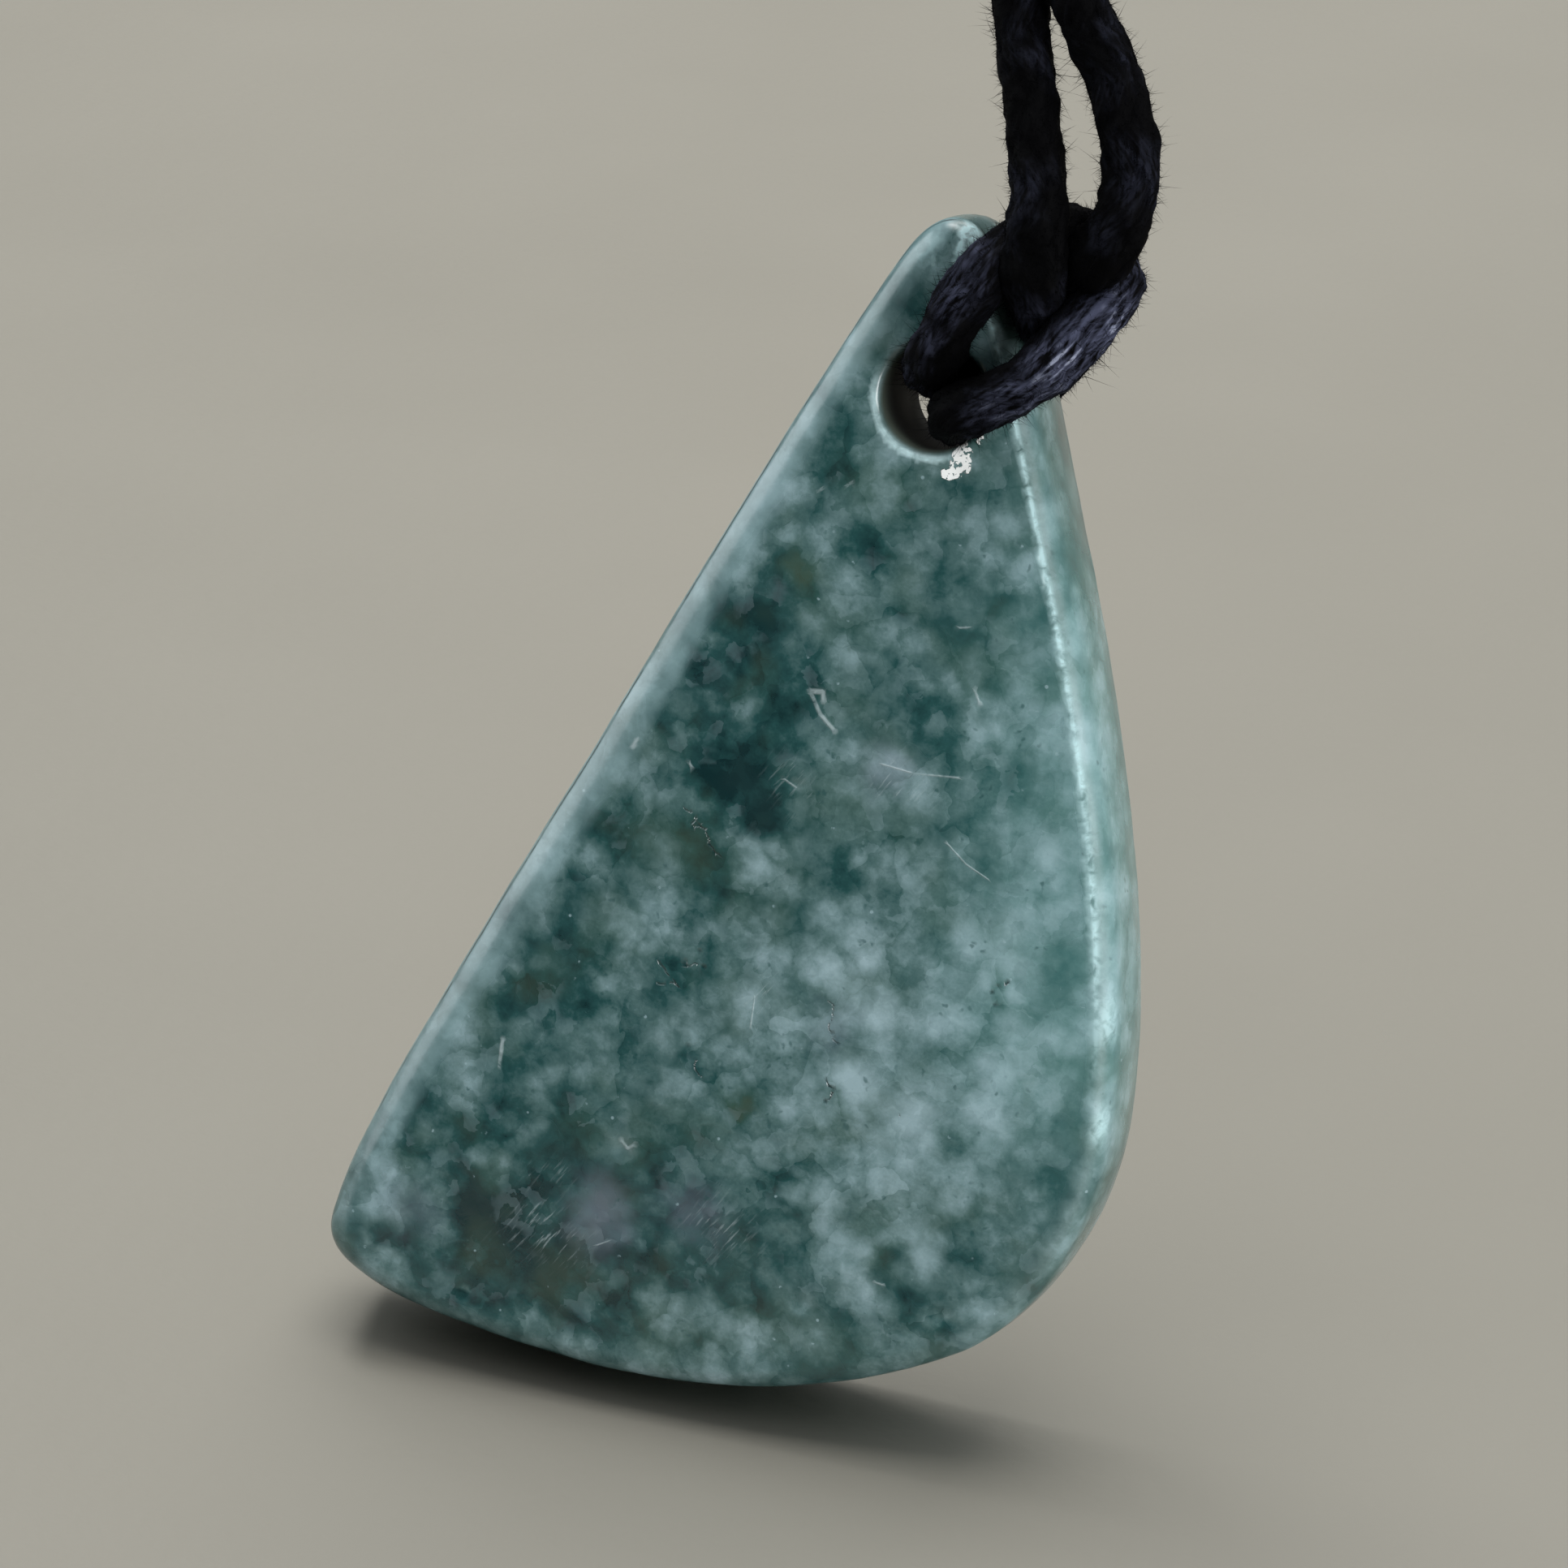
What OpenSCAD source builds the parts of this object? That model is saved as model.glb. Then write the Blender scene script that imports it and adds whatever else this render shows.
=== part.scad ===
// Jade pendant on a cord: a hand-cut stone hung by a lark's head hitch on a braided waxed loop.
// Millimetres, +Z up, the wearer looks along -Y. The origin is on the nape of the neck, under the
// knot that closes the loop. The stone leans back as it does on a chest.

/* [Stone] */
// Width of the stone across its lower part
stone_w = 27.9; // [26:0.1:31]
// Height of the stone along its own axis
stone_h = 44.3; // [42:0.1:50]
// Thickness of the stone between its faces
stone_t = 4.8; // [4.6:0.1:5]
// Rise of the front face at its middle
crown = 0.4; // [0.1:0.1:0.6]
// Depth of the worked front edge below the face
edge_depth = 0.9; // [0.6:0.1:1.2]
// Radius of the worked back edge
back_edge = 0.5; // [0.3:0.1:0.7]

/* [Drilled hole] */
// Diameter of the hole
hole_d = 4.2; // [4.2:0.1:4.4]
// Distance of the hole's centre from the tip of the stone
hole_drop = 6.2; // [6.1:0.1:6.6]
// Width of the bevel round each mouth of the hole
hole_bevel = 0.3; // [0.1:0.1:0.4]

/* [Cord] */
// Diameter of the braided cord
cord_d = 1.9; // [1.5:0.1:1.9]
// Gap between pieces that touch on the real one
gap = 0.1; // [0.05:0.05:0.3]

/* [Nape knot] */
// Length of the knot that closes the loop
knot_l = 9; // [7:0.5:12]
// Diameter of that knot
knot_d = 5; // [4:0.5:6]

/* [Wear] */
// Lean of the stone back from upright
lean = 20; // [15:1:25]
// Turn of the stone in its own plane, its tip towards the wearer's left
tilt = 7; // [4:1:10]

/* [Hidden] */

// Where the centre of the hole's front mouth hangs
hole_at = [-2.4, -138, -128];

// Reach of the outline from the hole: to the left, to the right and down
west = -0.556 * stone_w;
east = 0.444 * stone_w;
south = hole_drop - stone_h;

// Outline seen from the front, the hole's centre at zero, walked to the left from the tip.
// Columns: across, along, heading in degrees, handle behind, handle ahead, width of the front edge
OUTLINE = [
    [-0.6, hole_drop, 180, 1.6, 1.0, 0.85],            // tip
    [-2.6, hole_drop - 2.0, 247, 1.2, 3.5, 1.0],       // left shoulder
    [0.575 * west, 0.362 * south, 252, 7, 7, 1.4],     // left side
    [west, 0.937 * south, 270, 3.2, 1.6, 1.2],         // lower left corner
    [0.516 * west, south, 0, 5.5, 7, 0.9],             // foot
    [0.722 * east, 0.869 * south, 37, 6, 2.5, 0.8],    // lower right corner
    [east, 0.64 * south, 93, 3.8, 5.5, 0.75],          // widest place on the right
    [0.505 * east, 0.142 * south, 116, 7, 7.3, 0.65],  // right side
];
OUTLINE_STEPS = 12;

// Point about which the rings of both faces shrink
face_centre = [-0.13 * stone_w, 0.56 * south];

// Rings of the back face, as shares of its rim
BACK_RINGS = [0.35, 0.75];
// Rings of the front face, as shares of its rim
FRONT_RINGS = [0.88, 0.7, 0.45, 0.2];
EDGE_STEPS = 4;
WALL_BULGE = 0.12;

function spot(row) = [row[0], row[1]];
function heading(row) = [cos(row[2]), sin(row[2])];
function outline_point(a, b, t) =
    pow(1 - t, 3) * spot(a)
    + 3 * pow(1 - t, 2) * t * (spot(a) + row_ahead(a) * heading(a))
    + 3 * (1 - t) * t * t * (spot(b) - row_behind(b) * heading(b))
    + t * t * t * spot(b);
function row_behind(row) = row[3];
function row_ahead(row) = row[4];
function row_edge(row) = row[5];
function ease(t) = t * t * (3 - 2 * t);

rows = len(OUTLINE);
outline = [
    for (i = [0:rows - 1])
        for (j = [0:OUTLINE_STEPS - 1])
            outline_point(OUTLINE[i], OUTLINE[(i + 1) % rows], j / OUTLINE_STEPS)
];
edge_width = [
    for (i = [0:rows - 1])
        for (j = [0:OUTLINE_STEPS - 1])
            let (a = row_edge(OUTLINE[i]), b = row_edge(OUTLINE[(i + 1) % rows]))
                a + (b - a) * ease(j / OUTLINE_STEPS)
];
count = len(outline);
outward = [
    for (i = [0:count - 1])
        let (along = outline[(i + 1) % count] - outline[(i + count - 1) % count])
            [along.y, -along.x] / norm(along)
];

// One ring of the stone, set in from the outline by a list of widths
function inset_ring(widths, z) = [
    for (i = [0:count - 1])
        let (p = outline[i] - widths[i] * outward[i])
            [p.x, p.y, z]
];
function even(width) = [for (i = [0:count - 1]) width];
// One ring of a face, shrunk towards the face's centre
function shrunk_ring(rim, share, z) = [
    for (p = rim)
        [face_centre.x + (p.x - face_centre.x) * share, face_centre.y + (p.y - face_centre.y) * share, z]
];

back_rim = inset_ring(even(back_edge), -stone_t);
front_rim = inset_ring(edge_width, 0);
stone_rings = concat(
    [for (share = BACK_RINGS) shrunk_ring(back_rim, share, -stone_t)],
    [
        for (k = [0:EDGE_STEPS])
            let (turn = 90 * k / EDGE_STEPS)
                inset_ring(even(back_edge * (1 - sin(turn))), -stone_t + back_edge * (1 - cos(turn)))
    ],
    [inset_ring(even(-WALL_BULGE), -stone_t / 2)],
    [
        for (k = [0:EDGE_STEPS])
            let (turn = 90 * k / EDGE_STEPS)
                inset_ring((1 - cos(turn)) * edge_width, -edge_depth * (1 - sin(turn)))
    ],
    [for (share = FRONT_RINGS) shrunk_ring(front_rim, share, crown * (1 - share * share))]
);

// Closed skin over a stack of equal rings, with a middle point on each end
module skin(rings, first, last) {
    sides = len(rings[0]);
    tall = len(rings);
    points = concat([first], [for (ring = rings) for (p = ring) p], [last]);
    polyhedron(
        points = points,
        faces = concat(
            [for (i = [0:sides - 1]) [0, 1 + i, 1 + (i + 1) % sides]],
            [
                for (k = [0:tall - 2])
                    for (i = [0:sides - 1])
                        let (a = 1 + k * sides + i, b = 1 + k * sides + (i + 1) % sides)
                            each [[a, a + sides, b + sides], [a, b + sides, b]]
            ],
            [
                for (i = [0:sides - 1])
                    let (base = 1 + (tall - 1) * sides)
                        [base + i, 1 + tall * sides, base + (i + 1) % sides]
            ]
        )
    );
}

// From the stone's own frame, its hole at zero and its face up, to the frame of the necklace
module on_chest() {
    translate(hole_at)
        rotate([90 - lean, 0, 0])
            rotate([0, 0, -tilt])
                children();
}

function on_chest_point(p) =
    let (x = p.x * cos(tilt) + p.y * sin(tilt), y = p.y * cos(tilt) - p.x * sin(tilt))
        hole_at + [x, y * sin(lean) - p.z * cos(lean), y * cos(lean) + p.z * sin(lean)];

// Height of the crown where the hole is drilled, and how far the bevel cones run past each face
hole_crown = 0.15;
past = 0.6;

module pendant() {
    color("#4f7a76")
        on_chest()
            difference() {
                skin(
                    stone_rings,
                    [face_centre.x, face_centre.y, -stone_t],
                    [face_centre.x, face_centre.y, crown]
                );
                translate([0, 0, -stone_t - 1])
                    cylinder(d = hole_d, h = stone_t + 2, $fn = 48);
                translate([0, 0, hole_crown - hole_bevel])
                    cylinder(
                        r1 = hole_d / 2,
                        r2 = hole_d / 2 + hole_bevel + past,
                        h = hole_bevel + past,
                        $fn = 48
                    );
                translate([0, 0, -stone_t - past])
                    cylinder(
                        r1 = hole_d / 2 + hole_bevel + past,
                        r2 = hole_d / 2,
                        h = hole_bevel + past,
                        $fn = 48
                    );
            }
}

CORD_SIDES = 8;

// Route of the hitch in the stone's own frame, one strand in and the other out.
// Columns: across, along, out of the face, share of the cord's diameter that is left where it is squeezed
HITCH_ROUTE = [
    [-2.3, 18, -0.8, 1],
    [-0.6, 14.4, -0.1, 1],
    [0.7, 11.4, 0.4, 1],
    [1.7, 9.1, 0.9, 1],
    [2.4, 7.2, 1.3, 0.95],
    [2.65, 6, 1.35, 0.82],
    [2.75, 5.1, 1.3, 0.77],
    [2.95, 4.3, 0.9, 0.75],
    [3.2, 3.65, 0.1, 0.72],
    [3.35, 3.4, -1.2, 0.72],
    [3.45, 3.2, -3, 0.73],
    [3.35, 3, -4.7, 0.82],
    [2.9, 2.3, -5.8, 0.88],
    [2.1, 1.2, -6, 0.9],
    [1.25, 0.1, -5.5, 0.9],
    [0.85, -0.45, -4.4, 0.9],
    [0.85, -0.45, -0.3, 0.9],
    [1.3, -0.1, 0.9, 0.95],
    [2.35, 0.55, 1.35, 1],
    [3.3, 1.4, 1.45, 1],
    [4.1, 2.35, 1.45, 0.95],
    [4.6, 3.3, 1.15, 0.85],
    [4.9, 4.2, 0.5, 0.75],
    [5.1, 5, -0.55, 0.72],
    [4.65, 5.75, -1.4, 0.72],
    [4, 6.2, -2.1, 0.72],
    [3.2, 6.3, -2.4, 0.72],
    [2.35, 6.25, -2, 0.72],
    [1.8, 5.95, -1.1, 0.75],
    [1.4, 5.45, 0.1, 0.75],
    [1.05, 4.7, 1, 0.85],
    [0.6, 3.65, 1.3, 0.95],
    [0.25, 2.5, 1.25, 1],
    [-0.1, 1.5, 0.8, 1],
    [-0.5, 0.85, -0.8, 0.9],
    [-0.5, 0.85, -4.3, 0.9],
    [-0.1, 1.6, -5.5, 0.9],
    [0.6, 2.9, -6, 0.9],
    [1.5, 4, -5.8, 0.88],
    [2.3, 4.75, -4.8, 0.8],
    [2.65, 4.8, -3.2, 0.72],
    [2.8, 4.85, -1.8, 0.72],
    [3.15, 5.1, -0.6, 0.72],
    [3.75, 5.55, 0.05, 0.72],
    [4.45, 6, 0.85, 0.76],
    [5.05, 6.85, 1.15, 0.86],
    [5.25, 8.1, 1.1, 0.92],
    [4.9, 9.9, 0.9, 0.97],
    [3.8, 11.9, 0.7, 1],
    [2, 14.2, 0.6, 1],
    [1.2, 15.8, 0.5, 1],
    [1, 18, 0, 1],
];

module hitch() {
    color("#16171d")
        cord(
            [for (row = HITCH_ROUTE) on_chest_point(row)],
            [for (row = HITCH_ROUTE) row[3]]
        );
}

// Route of one side of the loop, from above the hitch over the shoulder to the nape
NECK_ROUTE = [
    [-8, -127, -104],
    [-17, -119, -92],
    [-27, -109, -78],
    [-37, -97, -63],
    [-46, -84, -49],
    [-53, -70, -36],
    [-58, -55, -24],
    [-60, -43, -16],
    [-58, -31, -10],
    [-52, -20, -5],
    [-43, -11, -1],
    [-32, -4, 1],
    [-20, -1, 2.3],
    [-11, 0, 2.5],
];

function unit(v) = v / norm(v);
function level(v, along) = unit(v - along * (v * along));

// Tube swept along a route, its sections turned as little as they can be
module cord(route, shares) {
    last = len(route) - 1;
    along = [for (i = [0:last]) unit(route[min(i + 1, last)] - route[max(i - 1, 0)])];
    side = [
        for (i = 0, s = level([0.1, 1, 0.2], along[0]); i <= last; i = i + 1, s = level(s, along[min(i, last)]))
            s
    ];
    rings = [
        for (i = [0:last])
            [
                for (k = [0:CORD_SIDES - 1])
                    let (turn = 360 * k / CORD_SIDES)
                        route[i]
                        + shares[i] * cord_d / 2 * (cos(turn) * side[i] + sin(turn) * cross(along[i], side[i]))
            ]
    ];
    skin(rings, route[0], route[last]);
}

// Length for which each side of the loop runs straight on from its strand of the hitch
lead = 3;

// One side of the loop, from the end of a hitch strand to the knot in the middle
module neck_cord(strand_end, strand_before, to_right) {
    onward = unit(strand_end - strand_before);
    route = concat(
        [strand_end + gap * onward, strand_end + lead * onward],
        [for (p = NECK_ROUTE) [to_right ? -p.x : p.x, p.y, p.z]],
        [[(to_right ? 1 : -1) * (knot_l / 2 + gap), 0, knot_d / 2]]
    );
    color("#16171d")
        cord(route, [for (p = route) 1]);
}

module neck_cord_left() {
    neck_cord(on_chest_point(HITCH_ROUTE[0]), on_chest_point(HITCH_ROUTE[1]), false);
}

module neck_cord_right() {
    end = len(HITCH_ROUTE) - 1;
    neck_cord(on_chest_point(HITCH_ROUTE[end]), on_chest_point(HITCH_ROUTE[end - 1]), true);
}

// Knot that closes the loop: a round barrel with rounded shoulders
module nape_knot() {
    shoulder = 0.2 * knot_d;
    color("#101116")
        translate([-knot_l / 2, 0, knot_d / 2])
            rotate([0, 90, 0])
                rotate_extrude($fn = 48) {
                    square([knot_d / 2 - shoulder, knot_l]);
                    translate([0, shoulder])
                        square([knot_d / 2, knot_l - 2 * shoulder]);
                    for (along = [shoulder, knot_l - shoulder])
                        translate([knot_d / 2 - shoulder, along])
                            circle(r = shoulder, $fn = 32);
                }
}

pendant();
hitch();
neck_cord_left();
neck_cord_right();
nape_knot();
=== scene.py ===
"""A jade pendant on a braided waxed cord, dressed around its packed construction model.

Lengths of the stone are worked out in millimetres in its own frame, where the centre of the hole's
front mouth is zero, x runs across, y up along the stone and z out of its face. The meshes are in
metres.
"""

import logging
import math
from dataclasses import dataclass, field
from enum import Enum
from typing import Iterable, NamedTuple, Optional, Sequence, Union

import bmesh
import bpy
import numpy as np
from mathutils import Matrix, Vector
from mathutils.geometry import delaunay_2d_cdt


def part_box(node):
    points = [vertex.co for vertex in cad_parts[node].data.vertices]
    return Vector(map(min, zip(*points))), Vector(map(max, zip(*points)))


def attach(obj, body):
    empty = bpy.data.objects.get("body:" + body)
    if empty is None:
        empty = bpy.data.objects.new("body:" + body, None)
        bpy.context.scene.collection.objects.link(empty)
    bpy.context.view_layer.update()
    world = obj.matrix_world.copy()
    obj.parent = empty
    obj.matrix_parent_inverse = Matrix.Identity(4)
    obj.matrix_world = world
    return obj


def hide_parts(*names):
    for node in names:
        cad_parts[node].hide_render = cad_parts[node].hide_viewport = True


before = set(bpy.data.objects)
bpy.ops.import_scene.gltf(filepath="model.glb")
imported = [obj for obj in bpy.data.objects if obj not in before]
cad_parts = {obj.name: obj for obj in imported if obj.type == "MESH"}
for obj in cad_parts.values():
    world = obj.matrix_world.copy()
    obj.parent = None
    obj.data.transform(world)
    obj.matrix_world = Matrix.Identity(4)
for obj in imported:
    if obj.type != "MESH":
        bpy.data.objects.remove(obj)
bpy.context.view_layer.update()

MM = 0.001
BODY = "root"
log = logging.getLogger("necklace")

Colour = tuple[float, float, float, float]


def paint(red: int, green: int, blue: int) -> Colour:
    """Turns a colour as the eye names it into the light that a shader mixes.

    Args:
        red: Red, 0 to 255, as a screen shows it.
        green: Green, likewise.
        blue: Blue, likewise.

    Returns:
        The linear colour, opaque.
    """
    shown = (red / 255, green / 255, blue / 255)
    linear = [((v + 0.055) / 1.055) ** 2.4 if v > 0.04 else v / 12.92 for v in shown]
    return (linear[0], linear[1], linear[2], 1.0)


Operand = Union["Shade", float, int]


class Shade:
    """A node's output that takes part in Python expressions; each operator adds its Math node."""

    def __init__(self, graph: "Graph", socket: bpy.types.NodeSocket) -> None:
        """Wraps one output socket of a graph."""
        self.graph = graph
        self.socket = socket

    def math(self, operation: str, *values: Operand, clamp: bool = False) -> "Shade":
        """Adds one Math node, with operands in the order of its sockets."""
        settings = {"operation": operation, "use_clamp": clamp}
        return self.graph.node("ShaderNodeMath", settings, dict(enumerate(values)))

    def __add__(self, other: Operand) -> "Shade":
        """Adds a number or a shade."""
        return self.math("ADD", self, other)

    __radd__ = __add__

    def __sub__(self, other: Operand) -> "Shade":
        """Takes a number or a shade away."""
        return self.math("SUBTRACT", self, other)

    def __rsub__(self, other: Operand) -> "Shade":
        """Takes this shade away from a number."""
        return self.math("SUBTRACT", other, self)

    def __mul__(self, other: Operand) -> "Shade":
        """Multiplies by a number or a shade."""
        return self.math("MULTIPLY", self, other)

    __rmul__ = __mul__

    def __or__(self, other: Operand) -> "Shade":
        """Takes the greater of two masks."""
        return self.math("MAXIMUM", self, other)

    __ror__ = __or__

    def __abs__(self) -> "Shade":
        """Drops the sign."""
        return self.math("ABSOLUTE", self)

    def clamped(self) -> "Shade":
        """Holds the shade between 0 and 1."""
        return self.math("ADD", self, 0.0, clamp=True)

    def step(self, low: float, high: float) -> "Shade":
        """Turns the shade into a soft-edged mask.

        Args:
            low: The value at which the mask is 0.
            high: The value at which it is 1.

        Returns:
            The mask.
        """
        settings = {"interpolation_type": "SMOOTHSTEP", "clamp": True}
        limits = {0: self, 1: low, 2: high, 3: 0.0, 4: 1.0}
        return self.graph.node("ShaderNodeMapRange", settings, limits)

    def sibling(self, output: str) -> "Shade":
        """Takes another output of the node that this shade comes from."""
        return Shade(self.graph, self.socket.node.outputs[output])


Value = Union[Shade, float, int, Sequence[float]]


class Graph:
    """The nodes of one material or of the sky."""

    def __init__(self, owner: Union[bpy.types.Material, bpy.types.World]) -> None:
        """Clears the nodes of their owner.

        Args:
            owner: The material or the sky.
        """
        self.owner = owner
        self.owner.use_nodes = True
        self.tree = self.owner.node_tree
        self.tree.nodes.clear()

    def add(
        self, kind: str, settings: Optional[dict] = None, inputs: Optional[dict] = None
    ) -> bpy.types.Node:
        """Adds one node of any type.

        Args:
            kind: The node's type.
            settings: Its own properties, which are set first; stops fills a colour ramp.
            inputs: Values or links of its sockets, by name or number.

        Returns:
            The node.
        """
        made = self.tree.nodes.new(kind)
        for name, value in (settings or {}).items():
            if name == "stops":
                self._fill_ramp(made.color_ramp, value)
            else:
                setattr(made, name, value)
        for name, value in (inputs or {}).items():
            if isinstance(value, Shade):
                self.tree.links.new(value.socket, made.inputs[name])
            else:
                made.inputs[name].default_value = value
        return made

    def node(
        self,
        kind: str,
        settings: Optional[dict] = None,
        inputs: Optional[dict] = None,
        output: Union[int, str] = 0,
    ) -> Shade:
        """Adds one node of any type and takes one of its outputs."""
        return Shade(self, self.add(kind, settings, inputs).outputs[output])

    @staticmethod
    def _fill_ramp(ramp: bpy.types.ColorRamp, stops: Sequence[tuple[float, Colour]]) -> None:
        """Puts the stops on a colour ramp.

        Args:
            ramp: The ramp.
            stops: Place and colour of each stop, from 0 to 1.
        """
        while len(ramp.elements) < len(stops):
            ramp.elements.new(0.5)
        for element, (place, colour) in zip(ramp.elements, stops):
            element.position = place
            element.color = colour

    def vector_math(self, operation: str, inputs: dict, output: Union[int, str] = 0) -> Shade:
        """Adds one Vector Math node and takes one of its outputs."""
        return self.node("ShaderNodeVectorMath", {"operation": operation}, inputs, output)

    def attribute(self, name: str, vector: bool = False) -> Shade:
        """Reads a number, or a vector, that the mesh carries on its points."""
        output = "Vector" if vector else "Fac"
        return self.node("ShaderNodeAttribute", {"attribute_name": name}, output=output)

    def noise(self, place: Shade, scale: float, detail: float = 3.0, distortion: float = 0.0) -> Shade:
        """Adds a cloud texture, whose grey value is about 0.5 in the middle."""
        inputs = {"Vector": place, "Scale": scale, "Detail": detail, "Distortion": distortion}
        return self.node("ShaderNodeTexNoise", {"noise_dimensions": "3D"}, inputs)

    def cells(self, place: Shade, scale: float) -> Shade:
        """Distance from the middle of a cell; the sibling Color is each cell's own random one."""
        return self.node("ShaderNodeTexVoronoi", None, {"Vector": place, "Scale": scale})

    def object_place(self) -> Shade:
        """Reads the place on the object, in metres."""
        return self.node("ShaderNodeTexCoord", None, None, "Object")

    def swirled(self, place: Shade, scale: float, reach: float) -> Shade:
        """Pushes a place about, so that a pattern read there loses its regular shape.

        Args:
            place: The place.
            scale: How fine the swirls are.
            reach: How far they push.

        Returns:
            The new place.
        """
        inputs = {"Vector": place, "Scale": scale, "Detail": 2.0}
        push = self.node("ShaderNodeTexNoise", {"noise_dimensions": "3D"}, inputs, "Color")
        push = self.vector_math("SUBTRACT", {0: push, 1: (0.5, 0.5, 0.5)})
        push = self.vector_math("SCALE", {0: push, "Scale": reach})
        return self.vector_math("ADD", {0: place, 1: push})

    def part(self, vector: Shade, axis: int) -> Shade:
        """Reads one part of a vector."""
        return self.node("ShaderNodeSeparateXYZ", None, {0: vector}, output=axis)

    def stretched(self, place: Shade, scale: Sequence[float], turn: float = 0.0) -> Shade:
        """Turns and stretches a place, for textures with a grain.

        Args:
            place: The place.
            scale: Its scale along each axis after the turn.
            turn: Angle about z, in degrees.

        Returns:
            The new place.
        """
        turned = self.node("ShaderNodeVectorRotate", {"rotation_type": "Z_AXIS"},
                           {"Vector": place, "Angle": math.radians(turn)})
        return self.vector_math("MULTIPLY", {0: turned, 1: tuple(scale)})

    def blend(self, base: Value, over: Value, amount: Operand) -> Shade:
        """Mixes one colour over another, as far as the amount says."""
        settings = {"data_type": "RGBA", "blend_type": "MIX", "clamp_factor": True}
        return self.node("ShaderNodeMix", settings, {0: amount, 6: base, 7: over}, output=2)

    def layered(self, base: Value, *layers: tuple[Value, Operand]) -> Shade:
        """Mixes colours over a base one after another.

        Args:
            base: The colour below.
            layers: Each colour above it, and how much of that shows.

        Returns:
            The mixed colour.
        """
        for over, amount in layers:
            base = self.blend(base, over, amount)
        return base

    def bump(self, height: Shade, distance: float) -> Shade:
        """Turns a height into a bumped normal; the distance in metres is that of a height of 1."""
        return self.node("ShaderNodeBump", None, {"Height": height, "Distance": distance})

    def end(self, shader: str, output: str, inputs: dict) -> Union[bpy.types.Material, bpy.types.World]:
        """Ends the graph with a shader and the owner's output.

        Args:
            shader: The shader's type.
            output: The output's type.
            inputs: Values or links of the shader's sockets.

        Returns:
            The finished owner.
        """
        surface = self.node(shader, None, inputs)
        self.add(output, None, {"Surface": surface})
        return self.owner

    def surface(self, inputs: dict) -> bpy.types.Material:
        """Ends a material with a principled surface."""
        return self.end("ShaderNodeBsdfPrincipled", "ShaderNodeOutputMaterial", inputs)


def wave_field(points: np.ndarray, wavelength: float, seed: int, waves: int = 28) -> np.ndarray:
    """A smooth random field, the sum of waves that run in all directions.

    Args:
        points: Where it is read, one row each.
        wavelength: Its typical wavelength, in the points' unit.
        seed: Which field it is.
        waves: How many waves are added.

    Returns:
        Its value at each point, about -2 to 2.
    """
    rng = np.random.default_rng(seed)
    headings = rng.normal(size=(waves, points.shape[1]))
    headings /= np.linalg.norm(headings, axis=1, keepdims=True)
    lengths = wavelength * rng.uniform(0.7, 1.5, waves)
    phases = rng.uniform(0, 2 * math.pi, waves)
    total = np.zeros(len(points))
    for heading, length, phase in zip(headings, lengths, phases):
        total += np.sin(points @ heading * (2 * math.pi / length) + phase)
    return total * math.sqrt(2 / waves)


class Unevenness(NamedTuple):
    """One random unevenness: how far it pushes, its wavelength and which field it is."""

    reach: float
    wavelength: float
    seed: int

    def at(self, points: np.ndarray) -> np.ndarray:
        """Reads the push at each point."""
        return self.reach * wave_field(points, self.wavelength, self.seed)


def ease(value: np.ndarray, low: float, high: float) -> np.ndarray:
    """A soft step from 0 at low to 1 at high."""
    t = np.clip((value - low) / (high - low), 0, 1)
    return t * t * (3 - 2 * t)


def ring_faces(first: int, second: int, sides: int) -> np.ndarray:
    """Joins two closed rings of equal size by quads.

    Args:
        first: Number of the first point of one ring.
        second: Number of the first point of the other.
        sides: Points in each.

    Returns:
        The quads.
    """
    here = np.arange(sides)
    onward = (here + 1) % sides
    return np.stack([first + here, first + onward, second + onward, second + here], axis=1)


def build_mesh(
    name: str,
    points: np.ndarray,
    faces: Iterable[Sequence[int]],
    attributes: dict[str, np.ndarray],
) -> bpy.types.Object:
    """Makes a smooth mesh object whose points carry values for its finish.

    Args:
        name: The piece's name.
        points: Its points in metres.
        faces: Its faces.
        attributes: A number or a vector for each point, by name.

    Returns:
        The object, linked to the scene.
    """
    mesh = bpy.data.meshes.new(name)
    mesh.from_pydata(points.tolist(), [], faces)
    work = bmesh.new()
    work.from_mesh(mesh)
    bmesh.ops.recalc_face_normals(work, faces=work.faces)
    work.to_mesh(mesh)
    work.free()
    mesh.shade_smooth()
    for key, values in attributes.items():
        vector = values.ndim == 2
        layer = mesh.attributes.new(key, "FLOAT_VECTOR" if vector else "FLOAT", "POINT")
        layer.data.foreach_set("vector" if vector else "value", values.astype(np.float32).ravel())
    piece = bpy.data.objects.new(name, mesh)
    bpy.context.scene.collection.objects.link(piece)
    return piece


def place_piece(piece: bpy.types.Object, slot: str, *nodes: str) -> bpy.types.Object:
    """Ties a piece to the frame.

    Args:
        piece: The piece.
        slot: The name of a material slot; not used.
        nodes: The construction solids that it stands for.

    Returns:
        The piece.
    """
    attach(piece, BODY)
    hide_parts(*nodes)
    log.info("%s: %d points, %d faces", piece.name, len(piece.data.vertices), len(piece.data.polygons))
    return piece


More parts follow.
